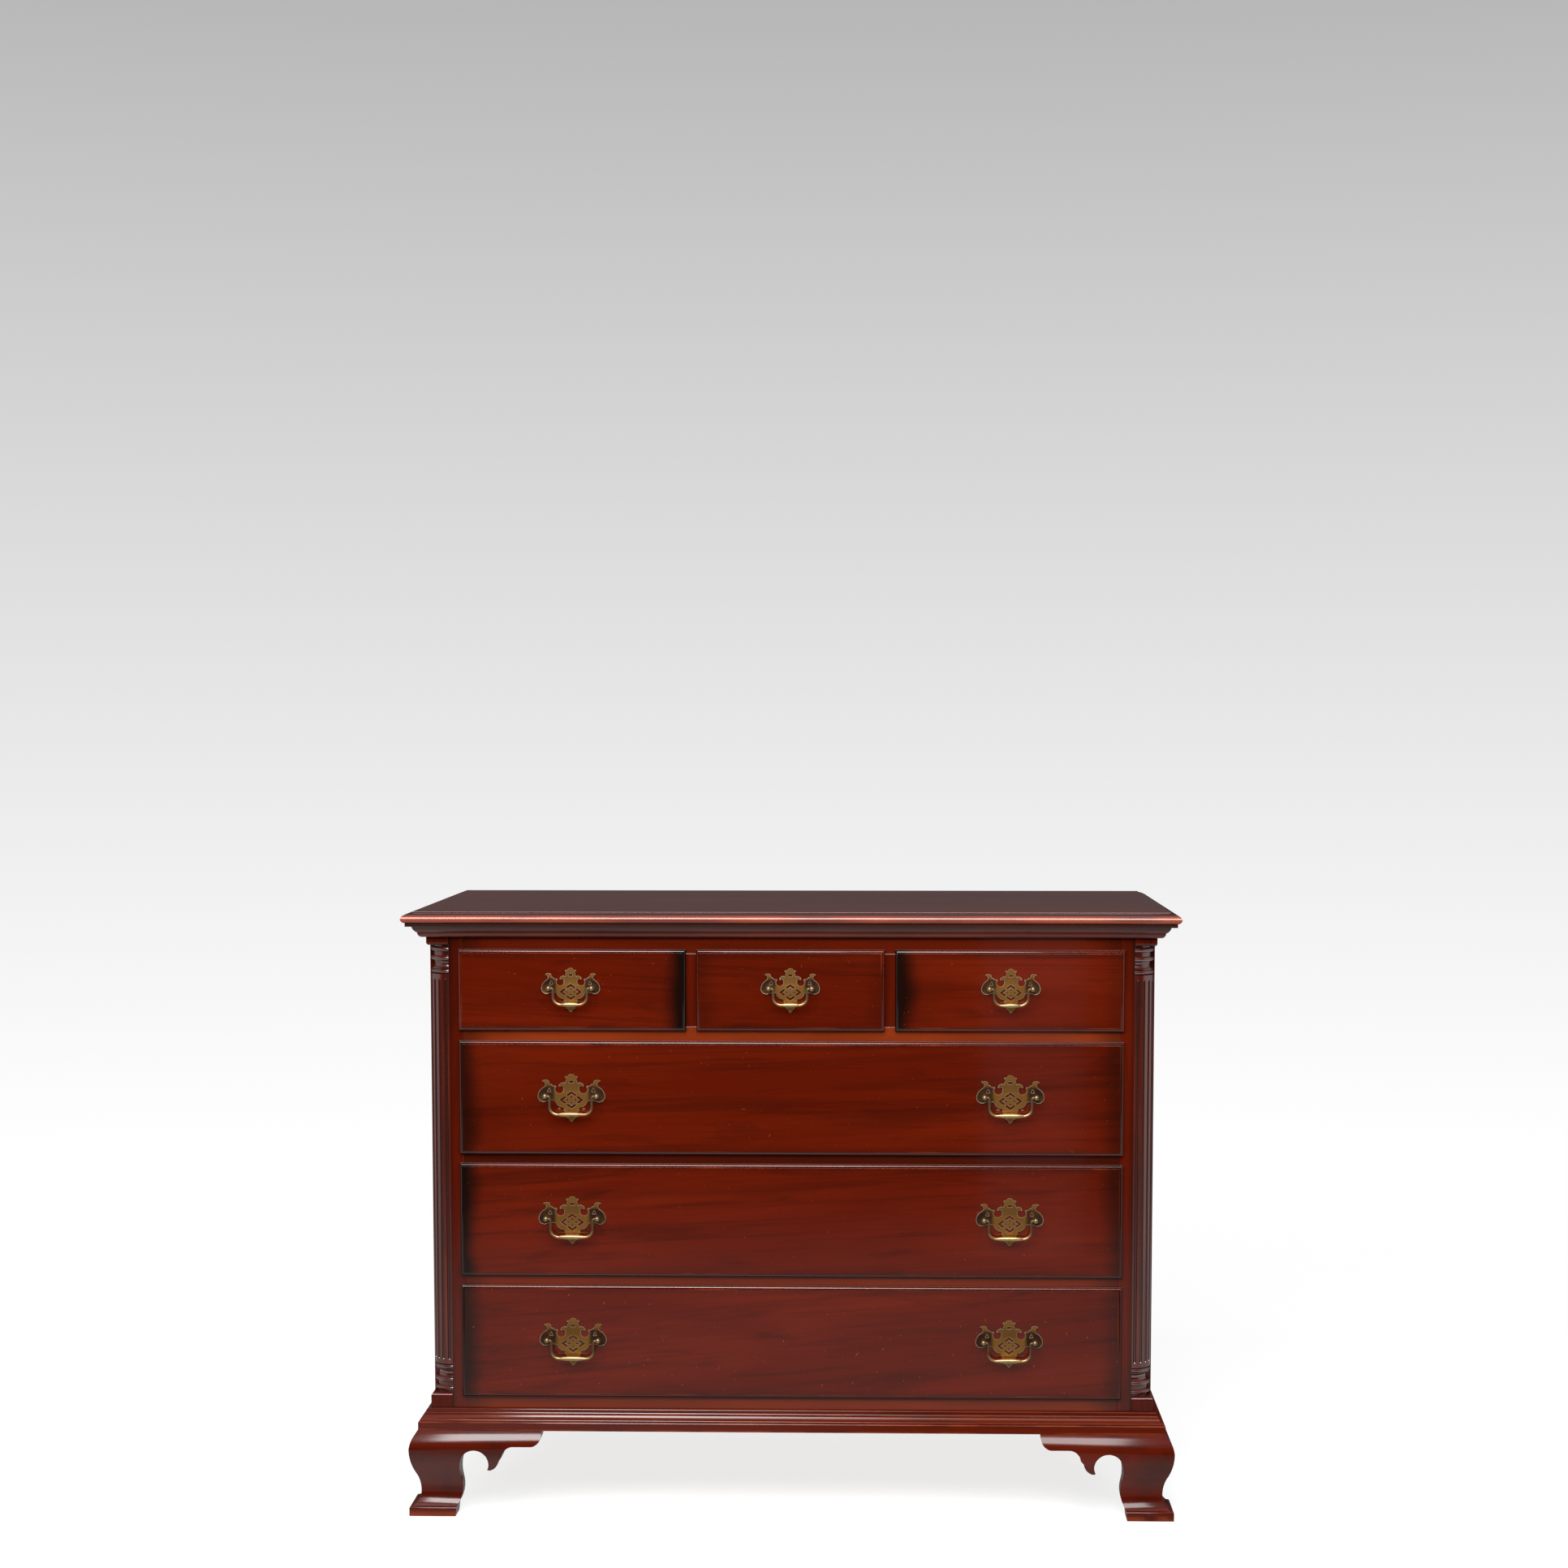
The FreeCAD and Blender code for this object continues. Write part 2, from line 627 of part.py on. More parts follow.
def column():
    """Fluted quarter column between a square block above and one below."""
    low = base_top + size.lower_block_height
    high = cornice_bottom - size.upper_block_height
    tall = high - low
    shaft = size.column_radius - size.column_inset
    cap = size.column_cap_height
    lower_cap = placed(COLUMN_CAP_SHARES, (zero, shaft), (zero, cap))
    upper_cap = placed(COLUMN_CAP_SHARES, (zero, shaft), (tall, -cap))
    body = doc.addObject("PartDesign::Body", "column_left_body")
    profile = sketch(body, "column_profile", "XZ",
                     [(zero, zero), *lower_cap, *backwards(upper_cap), (zero, tall)])
    turn(body, "column_turning", profile, "V_Axis", angle=90).Midplane = True
    flute = size.flute_radius
    start, end = cap, tall - cap
    half = sketch(body, "flute_profile", "XZ", [
        (shaft, start, QUARTER_SHARE), (shaft, end), (shaft - flute, end - flute, QUARTER_SHARE),
        (shaft - flute, start + flute),
    ])
    draw_axis(half, (shaft, start), (shaft, end))
    groove = turn(body, "flute", half, "Axis0", kind="Groove")
    spread = size.flute_pitch_angle * (FLUTES - 1)
    half.AttachmentOffset = Placement(Vector(), Rotation(Vector(0, -1, 0), 1))
    bind(half, "AttachmentOffset.Rotation.Angle", spread / 2)
    pattern = body.newObject("PartDesign::PolarPattern", "flutes")
    pattern.Originals = [groove]
    pattern.Axis = (profile, ["V_Axis"])
    pattern.Occurrences = FLUTES
    bind(pattern, "Angle", spread)
    body.Tip = pattern
    body.Placement = Placement(Vector(), Rotation(Vector(0, 0, 1), -135))
    bind_place(body, -case_half + size.column_radius, front + size.column_radius, low)
    node("column_left", body)
    node("column_right", mirror("column_right_mirror", body))


def column_blocks():
    """Square blocks that stand proud of the column, eased where they meet it."""
    side = (-case_half - size.block_proud, -case_half + size.column_radius)
    lead = (front - size.block_proud, front + size.column_radius)
    ease = size.block_round

    def section(span, flat, eased, way):
        return [(span[1], flat), (span[0], flat), (span[0], eased + ease * way),
                (span[0] + ease, eased, QUARTER_SHARE * way), (span[1], eased)]

    pieces = []
    for name, *shape in (
        ("lower", base_top, base_top + size.lower_block_height, -1),
        ("upper", cornice_bottom, cornice_bottom - size.upper_block_height, 1),
    ):
        block = common(f"{name}_block", prism(f"{name}_block_side", "XZ", section(side, *shape), lead),
                       prism(f"{name}_block_lead", "YZ", section(lead, *shape), side))
        pieces += [block, mirror(f"{name}_block_mirror", block)]
    node("column_blocks", group("column_blocks", *pieces))


def feet():
    """Ogee bracket feet: mitred at the front, squared to a plain bracket at the rear."""
    height = (zero, size.foot_height)
    outer, lead = -case_half - size.foot_knee, front - size.foot_knee
    inner, deep = outer + size.foot_thickness, lead + size.foot_thickness
    wing_x, wing_y, wing_rear = outer + size.foot_wing, lead + size.foot_wing, back - size.foot_wing
    up = (zero, size.foot_height)

    def ogee(plane):
        curve = placed(FOOT_OGEE_SHARES, (plane, -size.foot_knee), up)
        hollow = plane - size.foot_knee + size.foot_thickness
        return curve + [(hollow, size.foot_height), (hollow, zero)]

    front_bracket = common(
        "front_bracket",
        prism("front_bracket_ogee", "YZ", ogee(front), (outer, wing_x)),
        prism("front_bracket_scroll", "XZ", placed(FOOT_SCROLL_SHARES, (outer, size.foot_wing), up),
              (lead, deep)),
        prism("front_bracket_plan", "XY", [(inner, deep), (outer, lead), (wing_x, lead), (wing_x, deep)],
              height),
    )
    side_bracket = common(
        "side_bracket",
        prism("side_bracket_ogee", "XZ", ogee(-case_half), (lead, wing_y)),
        prism("side_bracket_scroll", "YZ", placed(FOOT_SCROLL_SHARES, (lead, size.foot_wing), up),
              (outer, inner)),
        prism("side_bracket_plan", "XY", [(inner, deep), (inner, wing_y), (outer, wing_y), (outer, lead)],
              height),
    )
    front_block = box("front_foot_block", (inner, inner + size.foot_block),
                      (deep, deep + size.foot_block), height)
    rear_side = common(
        "rear_side_bracket",
        prism("rear_side_ogee", "XZ", ogee(-case_half), (wing_rear, back)),
        prism("rear_side_scroll", "YZ", placed(FOOT_SCROLL_SHARES, (back, -size.foot_wing), up),
              (outer, inner)),
    )
    rear_face = back - size.rear_bracket_thickness
    rear_bracket = common(
        "rear_bracket",
        prism("rear_bracket_scroll", "XZ", placed(FOOT_SCROLL_SHARES, (outer, size.foot_wing), up),
              (rear_face, back)),
        box("rear_bracket_blank", (inner, wing_x), (rear_face, back), height),
    )
    rear_block = box("rear_foot_block", (inner, inner + size.foot_block),
                     (rear_face - size.foot_block, rear_face), height)
    for label, pieces in (
        ("front_feet", (front_bracket, side_bracket, front_block)),
        ("rear_feet", (rear_side, rear_bracket, rear_block)),
    ):
        others = [mirror(f"{piece.Name}_mirror", piece) for piece in pieces]
        node(label, group(label, *pieces, *others))


def drawer(name, x, z, tails, pulls, kind):
    """Lipped and moulded front, dovetailed box, loose bottom and brass pulls."""
    face_back = front - size.lip_gap
    field = face_back - size.lip_thickness
    box_x = (x[0] + size.drawer_side_gap, x[1] - size.drawer_side_gap)
    box_z = (z[0] + size.drawer_run_gap, z[1] - size.drawer_top_gap)
    shoulder = front + size.front_thickness
    rear = front + size.drawer_depth
    boards = []
    sockets = []
    floor_z = box_z[0] + size.drawer_bottom_rise
    bottom_z = (floor_z, floor_z + size.drawer_bottom_thickness)
    slot = size.drawer_side_thickness - size.drawer_groove
    bottom = box(f"{name}_bottom_board", (box_x[0] + slot, box_x[1] - slot),
                 (shoulder - size.drawer_groove, rear), bottom_z)
    dado = size.drawer_side_thickness - size.drawer_back_dado
    rear_board = box(f"{name}_back_board", (box_x[0] + dado, box_x[1] - dado),
                     (rear - size.drawer_back_thickness * 2, rear - size.drawer_back_thickness),
                     (bottom_z[1], box_z[1]))
    for side, low in (("left", box_x[0]), ("right", box_x[1] - size.drawer_side_thickness)):
        span = (low, low + size.drawer_side_thickness)
        tail = dovetails(f"{name}_{side}_tails", span, shoulder, box_z, tails)
        blank = box(f"{name}_{side}_blank", span, (shoulder, rear), box_z)
        boards.append(cut(f"{name}_{side}_side", fuse(f"{name}_{side}_solid", blank, tail),
                          bottom, rear_board))
        sockets.append(tail)
    lip = lipped_front(f"{name}_lip", (x[0] - size.lip_overlap, x[1] + size.lip_overlap),
                       (z[0] - size.lip_overlap, z[1] + size.lip_overlap), field, face_back)
    inside = box(f"{name}_inside", box_x, (face_back, shoulder), box_z)
    middle = (z[0] + z[1]) / 2 + size.pull_rise
    boring = size.pull_boring if kind == "long" else size.small_pull_boring
    borings = [pull + offset for _, pull in pulls for offset in (-boring / 2, boring / 2)]
    bore = size.pull_shank_radius + size.pull_shank_clearance
    holes = [
        rod(f"{name}_bore_{index}", place, (field - size.overrun, shoulder + size.overrun), middle, bore)
        for index, place in enumerate(borings)
    ]
    node(f"{name}_front", cut(f"{name}_front_cut", fuse(f"{name}_front_solid", lip, inside),
                              *sockets, bottom, *holes))
    node(f"{name}_box", group(f"{name}_box_boards", *boards, rear_board))
    node(f"{name}_bottom", bottom)
    plates, posts = [], []
    for place, pull in pulls:
        plates.append(pull_plate(f"{name}_plate{place}", pull, field, middle, boring, kind))
        bail(f"{name}_bail{place}", pull, field, middle, boring, kind)
    for index, place in enumerate(borings):
        posts += pull_post(f"{name}_post_{index}", place, field, shoulder, middle)
    node(f"{name}_pull_plates", group(f"{name}_plates", *plates))
    node(f"{name}_pull_posts", group(f"{name}_posts", *posts))


def lipped_front(name, x, z, field, face_back):
    """Face of a drawer with a small step and a quarter round along all four edges."""
    step, edge, width = size.lip_step, size.lip_edge, size.lip_round

    def lengthwise():
        return [
            (face_back, z[0]), (face_back, z[1]), (face_back - edge, z[1]),
            (field + step, z[1] - width, QUARTER_SHARE), (field, z[1] - width), (field, z[0] + width),
            (field + step, z[0] + width), (face_back - edge, z[0], QUARTER_SHARE),
        ]

    def upright():
        return [
            (x[1], face_back), (x[0], face_back), (x[0], face_back - edge),
            (x[0] + width, field + step, QUARTER_SHARE), (x[0] + width, field), (x[1] - width, field),
            (x[1] - width, field + step), (x[1], face_back - edge, QUARTER_SHARE),
        ]

    return common(name, prism(f"{name}_lengthwise", "YZ", lengthwise(), x),
                  prism(f"{name}_upright", "XY", upright(), z))


def dovetails(name, x, shoulder, z, count):
    """Row of tails on the end of a drawer side."""
    pitch = (z[1] - z[0]) / count
    root = z[0] + (pitch - size.tail_width) / 2
    body = doc.addObject("PartDesign::Body", name)
    body.AllowCompound = True
    tip = shoulder - size.tail_length
    low, high = root, root + size.tail_width
    profile = sketch(body, f"{name}_sketch", "YZ", [
        (shoulder, low), (shoulder, high), (tip, high + size.tail_flare), (tip, low - size.tail_flare),
    ])
    pad = body.newObject("PartDesign::Pad", f"{name}_pad")
    pad.Profile = profile
    bind(pad, "Length", x[1] - x[0])
    pattern = body.newObject("PartDesign::LinearPattern", f"{name}_row")
    pattern.Originals = [pad]
    pattern.Direction = (profile, ["V_Axis"])
    pattern.Occurrences = count
    bind(pattern, "Length", pitch * (count - 1))
    body.Tip = pattern
    bind(body, "Placement.Base.x", x[0])
    return body


def pull_sizes(kind):
    if kind == "long":
        return size.plate_width, size.plate_height, size.bail_span, size.bail_drop
    return size.small_plate_width, size.small_plate_height, size.small_bail_span, size.small_bail_drop


def plate_outline(half, tall):
    """Closed wire of the back plate, drawn from the crown down one side and up the other."""
    edges = []
    for way in (1, -1):
        points = [Vector(way * half * u, 0, tall * v) for u, v, *_ in PLATE_SHARES]
        for index in range(1, len(points)):
            start, end = points[index - 1], points[index]
            rises = PLATE_SHARES[index][2:]
            if rises:
                chord = end - start
                outward = Vector(-chord.z, 0, chord.x) * way
                crest = (start + end) / 2 + outward * rises[0]
                edges.append(Part.Arc(start, crest, end).toShape())
            else:
                edges.append(Part.LineSegment(start, end).toShape())
    return Part.Wire(Part.sortEdges(edges)[0])


def plate_windows(half, tall):
    """Pierced crown window, wing windows, lattice diamonds and the four chevrons round them."""
    shapes = [[(half * u, tall * v) for u, v in CROWN_WINDOW_SHARES]]
    for way in (1, -1):
        shapes.append([(way * half * u, tall * v) for u, v in WING_WINDOW_SHARES])
    centre = tall * LATTICE_CENTRE_SHARE
    far, near = tall * LATTICE_OUTER_SHARE, tall * LATTICE_INNER_SHARE
    arm, step = tall * LATTICE_ARM_SHARE, tall * (LATTICE_OUTER_SHARE - LATTICE_INNER_SHARE) / 2
    offset, reach = tall * DIAMOND_PLACE_SHARE, tall * DIAMOND_SIZE_SHARE
    chevron = [(far - arm, arm), (far, 0), (far - arm, -arm),
               (far - arm - step, step - arm), (near, 0), (far - arm - step, arm - step)]
    diamond = [(offset + reach, 0), (offset, reach), (offset - reach, 0), (offset, -reach)]
    for quarter in range(4):
        cosine, sine = math.cos(quarter * math.pi / 2), math.sin(quarter * math.pi / 2)
        for corners in (chevron, diamond):
            shapes.append([
                ((a * cosine - b * sine) * LATTICE_WIDE_SHARE,
                 (a * sine + b * cosine) * LATTICE_LOW_SHARE + centre) for a, b in corners
            ])
    return [Part.makePolygon([Vector(a, 0, b) for a, b in shape + shape[:1]]) for shape in shapes]


def pull_plate(name, pull, field, middle, boring, kind):
    """Pierced back plate with scalloped wings, drilled for its two posts."""
    width, tall, _, _ = pull_sizes(kind)
    half, tall = width.number / 2, tall.number
    thick = Vector(0, -size.plate_thickness.number, 0)
    plate = Part.Face(plate_outline(half, tall)).extrude(thick)
    for window in plate_windows(half, tall):
        plate = plate.cut(Part.Face(window).extrude(thick))
    bore = size.pull_shank_radius.number + size.pull_shank_clearance.number
    plate.translate(Vector(0, 0, -tall * POST_LINE_SHARE))
    for way in (1, -1):
        centre = Vector(way * boring.number / 2, 0, 0)
        plate = plate.cut(Part.makeCylinder(bore, size.plate_thickness.number, centre, Vector(0, -1, 0)))
    item = doc.addObject("Part::Feature", name)
    item.Shape = plate
    bind_place(item, pull, field, middle)
    return item


def pull_post(name, place, field, shoulder, middle):
    """Turned post with a cross-drilled ball head, and the nut that holds it inside the drawer."""
    ball, reach, neck = size.pull_ball_radius, size.pull_post_reach, size.pull_neck_radius
    plate, collar = size.plate_thickness, size.plate_thickness + size.pull_collar_thickness
    shank = size.pull_shank_radius
    end = shoulder - field + size.pull_nut_thickness + size.pull_shank_end
    body = doc.addObject("PartDesign::Body", name)
    profile = sketch(body, f"{name}_profile", "YZ", [
        (-reach - ball, zero, BALL_RISE_SHARE), (end, zero), (end, shank), (-plate, shank),
        (-plate, size.pull_collar_radius), (-collar, size.pull_collar_radius), (-collar, neck),
        (ball * BALL_NECK_SHARE - reach, neck),
    ])
    turn(body, f"{name}_turning", profile, "H_Axis")
    eye = sketch(body, f"{name}_eye_sketch", "YZ")
    draw_circle(eye, -reach, zero, size.bail_wire_radius + size.bail_pin_clearance)
    drilling = body.newObject("PartDesign::Pocket", f"{name}_eye")
    drilling.Profile = eye
    drilling.SideType = "Symmetric"
    bind(drilling, "Length", ball * 4)
    bind_place(body, place, field, middle)
    hexagon = doc.addObject("Part::Prism", f"{name}_hexagon")
    hexagon.Polygon = 6
    hexagon.Placement = Placement(Vector(), ALONG_Y)
    bind(hexagon, "Circumradius", size.pull_nut_radius)
    bind(hexagon, "Height", size.pull_nut_thickness)
    bind_place(hexagon, place, shoulder, middle)
    thread = rod(f"{name}_thread", place,
                 (shoulder - size.overrun, shoulder + size.pull_nut_thickness + size.overrun),
                 middle, size.pull_shank_radius + size.pull_shank_clearance)
    return body, cut(f"{name}_nut", hexagon, thread)


def bail(name, pull, field, middle, boring, kind):
    """Bent wire handle with pins that turn in the posts and a grip that swells in the middle."""
    _, _, span, drop = pull_sizes(kind)
    arm = span / 2
    elbow, corner = size.bail_elbow_radius, size.bail_corner_radius
    tip = boring / 2 + size.bail_pin_depth
    wire, grip = size.bail_wire_radius, size.bail_grip_radius
    body = doc.addObject("PartDesign::Body", f"{name}_body")
    path = sketch(body, f"{name}_path", "XZ")
    draw(path, [
        (-tip, zero), (-arm - elbow, zero), (-arm, -elbow, -QUARTER_SHARE), (-arm, corner - drop),
        (corner - arm, -drop, QUARTER_SHARE), (arm - corner, -drop), (arm, corner - drop, QUARTER_SHARE),
        (arm, -elbow), (arm + elbow, zero, -QUARTER_SHARE), (tip, zero),
    ], closed=False)
    ring = sketch(body, f"{name}_ring", "YZ")
    draw_circle(ring, zero, zero, wire)
    bind(ring, "AttachmentOffset.Base.z", -tip)
    pipe = body.newObject("PartDesign::AdditivePipe", f"{name}_wire")
    pipe.Profile = ring
    pipe.Spine = path
    swell = sketch(body, f"{name}_swell_sketch", "XZ", [
        (corner - arm, -drop), (arm - corner, -drop), (arm - corner, wire - drop),
        (zero, grip - drop, GRIP_SWELL_SHARE), (corner - arm, wire - drop, GRIP_SWELL_SHARE),
    ])
    draw_axis(swell, (corner - arm, -drop), (arm - corner, -drop))
    turn(body, f"{name}_swell", swell, "Axis0")
    bind_place(body, pull, field - size.pull_post_reach, middle)
    node(name, body)


def drawers():
    """Three small drawers across the top and three long ones below."""
    small_z = (small_opening, top_rail)
    for name, x, pull in (
        ("small_drawer_left", (-opening_half, -divider_far), -outer_pull),
        ("small_drawer_middle", (-middle_half, middle_half), zero),
        ("small_drawer_right", (divider_far, opening_half), outer_pull),
    ):
        drawer(name, x, small_z, SMALL_TAILS, (("", pull),), "small")
    pulls = (("_left", -outer_pull), ("_right", outer_pull))
    for name, low in (
        ("long_drawer_upper", upper_opening),
        ("long_drawer_centre", centre_opening),
        ("long_drawer_lower", lower_opening),
    ):
        drawer(name, case_span, (low, low + size.long_opening_height), LONG_TAILS, pulls, "long")


def build():
    top_board()
    cornice()
    tenons, dust = rails()
    dadoes = runners(dust)
    carcase_sides(tenons, dadoes)
    column()
    column_blocks()
    base_frame()
    feet()
    drawers()
    doc.recompute()


def check():
    """Stop on a failed feature or a broken sub-part."""
    for item in doc.Objects:
        if {"Invalid", "Error"} & set(item.State):
            raise RuntimeError(f"{item.Label} failed: {item.State}")
    for item in nodes:
        if item.Shape.isNull() or not item.Shape.isValid() or not item.Shape.Solids:
            raise RuntimeError(f"{item.Label} has no valid solid")


def write():
    os.makedirs("parts", exist_ok=True)
    for item in nodes:
        item.Shape.exportStep(os.path.join("parts", f"{item.Label}.step"))


build()
check()
write()
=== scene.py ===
"""Finishes and stage of a mahogany chest of drawers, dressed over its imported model."""

import math

import bmesh
import bpy
from bpy.props import FloatProperty, FloatVectorProperty, PointerProperty
from mathutils import Matrix, Vector


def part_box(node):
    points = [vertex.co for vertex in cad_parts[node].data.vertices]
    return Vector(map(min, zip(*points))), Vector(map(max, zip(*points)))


bl_info = {
    "name": "Chest of Drawers Finishes",
    "version": (1, 0, 0),
    "blender": (4, 5, 0),
    "location": "3D View > Sidebar > Chest",
    "description": "Varnished mahogany, plain inner timber and antique brass for a chest of drawers",
    "category": "Object",
}

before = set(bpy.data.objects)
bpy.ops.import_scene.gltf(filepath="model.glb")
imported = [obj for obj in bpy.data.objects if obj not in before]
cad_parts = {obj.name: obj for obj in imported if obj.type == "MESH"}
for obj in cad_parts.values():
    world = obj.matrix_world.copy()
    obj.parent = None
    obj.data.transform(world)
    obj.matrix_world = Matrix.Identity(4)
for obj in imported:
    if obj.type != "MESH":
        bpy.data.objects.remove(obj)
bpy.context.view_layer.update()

SMALL_DRAWERS = ("small_drawer_left", "small_drawer_middle", "small_drawer_right")
LONG_DRAWERS = ("long_drawer_upper", "long_drawer_centre", "long_drawer_lower")
DRAWERS = SMALL_DRAWERS + LONG_DRAWERS

# Pieces of the case whose edges are rounded
ROUNDED = (
    "top_board", "cornice_moulding", "base_moulding", "post_left", "post_right", "column_blocks", "top_rail",
    "drawer_rails", "bottom_rail", "drawer_dividers", "side_left", "side_right", "front_feet",
)

# Rounding of the feet and of the drawer fronts, against the common arris
FOOT_ROUNDING = 1.6
FRONT_ROUNDING = 0.75

# How dark each drawer front is toned at its left and right ends
ENDS = {
    "small_drawer_left": (0.05, 0.85),
    "small_drawer_middle": (0.3, 0.25),
    "small_drawer_right": (0.8, 0.3),
    "long_drawer_upper": (0.7, 0.5),
    "long_drawer_centre": (0.85, 0.6),
    "long_drawer_lower": (0.75, 0.5),
}

# Width of the stepped edge of the top, and heights of the base's lines above its lower edge, in metres
TOP_STEP = 0.0155
BASE_FILLET = 0.0125
BASE_BEAD = 0.0237

# Pulls, in metres: half the boring, place on the long drawers, half a plate and rise over a front's middle
SMALL_BORE = 0.03175
LONG_BORE = 0.0381
LONG_PULL = 0.325
LONG_PLATE_HALF = 0.05
PULL_RISE = 0.004

# Height of the posts as a share of their plate
POST_LINE = 0.5535

# Pale spots on either side of the pulls, in metres from the middle of a pull, and how far they are drawn out
# sideways
SPOT_SIDE = 0.0181
SPOT_DROP = 0.0199
SPOT_SPREAD = 0.32

# Where the grain of a drawer box turns for its back board, in metres from the box's rear end
BOX_BACK = 0.0265

# Pale strips that the fronts mirror: width, foot, head and brightness; laid over each other they fade out
SHEEN_STRIPS = (
    (0.08, 0.05, 0.74, 0.1), (0.15, 0.05, 0.74, 0.1), (0.22, 0.05, 0.74, 0.08),
    (0.08, 0.5, 0.74, 0.22), (0.14, 0.45, 0.74, 0.22), (0.2, 0.4, 0.74, 0.2),
)
SHEEN_SIDE = 0.455
SHEEN_FRONT = -2.0

# Radius of the floor, in metres
FLOOR_RADIUS = 3.0

# Camera: place in metres, yaw, pitch and roll in degrees, shift of the picture and sensor in millimetres
CAMERA_PLACE = (0.1384, -4.2704, 1.1781)
CAMERA_TURN = (-1.531, 4.6, -0.016)
CAMERA_SHIFT = (-0.0174, 0.1037)
CAMERA_SENSOR = 36.0


def tint(name, description, default):
    return FloatVectorProperty(
        name=name, description=description, subtype="COLOR", size=3, min=0.0, max=1.0, default=default
    )


def measure(name, description, default):
    return FloatProperty(
        name=name, description=description, unit="LENGTH", min=0.0, precision=4, default=default
    )


def amount(name, description, default, top, unit="NONE"):
    return FloatProperty(name=name, description=description, unit=unit, min=0.0, max=top, default=default)


class ChestWood(bpy.types.PropertyGroup):
    """Colours and wear of the timber."""

    heart: tint("Heart red", "Main colour of the varnished mahogany", (0.044, 0.0029, 0.00045))
    ember: tint("Ember red", "Lighter bands of the figure", (0.062, 0.0047, 0.0008))
    umber: tint("Umber", "Darker streaks along the grain", (0.018, 0.0018, 0.0006))
    # Besides toner, this colour is painted shade in the recesses beside the columns, on the fillet under the
    # top and on the middle rail.
    glaze_and_shade: tint("Glaze", "Dark toner in corners, flutes and along edges", (0.0034, 0.0012, 0.0007))
    # Besides rubbed varnish, this colour is painted light on the tip and underside of the top's nose and on
    # the base's cove.
    worn_and_lit: tint("Worn edge", "Varnish rubbed thin on arrises", (0.165, 0.025, 0.0055))
    scratch: tint("Scratch", "Pale marks of use", (0.2, 0.065, 0.03))
    poplar: tint("Inner timber", "Plain timber of the drawer boxes and runners", (0.24, 0.15, 0.075))
    poplar_dark: tint("Inner timber streaks", "Darker growth lines of the plain timber", (0.15, 0.086, 0.04))
    arris: measure("Arris", "Radius that sanding left on the edges", 0.0008)


class ChestBrass(bpy.types.PropertyGroup):
    """Colours of the pulls."""

    bright: tint("Rubbed brass", "Brass where hands keep it bright", (0.29, 0.205, 0.095))
    plate: tint("Plate brass", "Aged brass of the back plates", (0.36, 0.17, 0.036))
    # The rubbed rim colour is a painted highlight along the rims of the back plates.
    edge: tint("Rubbed rim", "Brass along the rims of the back plates", (0.62, 0.5, 0.32))
    patina: tint("Patina", "Red-brown tarnish", (0.035, 0.016, 0.011))
    # The rim width is how wide that painted highlight runs.
    rim: measure("Rim", "Width of the rubbed rims of the back plates", 0.0013)


class ChestStage(bpy.types.PropertyGroup):
    """Floor, lights and camera."""

    floor: tint("Floor", "Pale studio floor", (0.9, 0.9, 0.9))
    high: tint("Upper backdrop", "Grey at the top of the backdrop", (0.47, 0.47, 0.475))
    low: tint("Lower backdrop", "White behind and below the chest", (1.0, 1.0, 1.0))
    bank: amount("Bank light", "Power of the wide softbox over the camera", 300.0, 1000.0, "POWER")
    key: amount("Key light", "Power of each side softbox", 80.0, 1000.0, "POWER")
    sky: amount("Overhead light", "Power of the overhead softbox", 20.0, 1000.0, "POWER")
    sheen: amount("Sheen", "Brightness of the pale streak that the fronts mirror", 1.2, 20.0)
    lens: amount("Lens", "Focal length in millimetres", 62.851, 300.0, "CAMERA")


class Socket:
    """An output of a node that works in Python expressions."""

    def __init__(self, finish, output):
        self.finish = finish
        self.output = output

    def math(self, operation, *others):
        return self.finish.node("ShaderNodeMath", {"operation": operation}, dict(enumerate((self, *others))))

    def __add__(self, other):
        return self.math("ADD", other)

    __radd__ = __add__

    def __sub__(self, other):
        return self.math("SUBTRACT", other)

    def __rsub__(self, other):
        return self.finish.node("ShaderNodeMath", {"operation": "SUBTRACT"}, {0: other, 1: self})

    def __mul__(self, other):
        return self.math("MULTIPLY", other)

    __rmul__ = __mul__

    def __abs__(self):
        return self.math("ABSOLUTE")


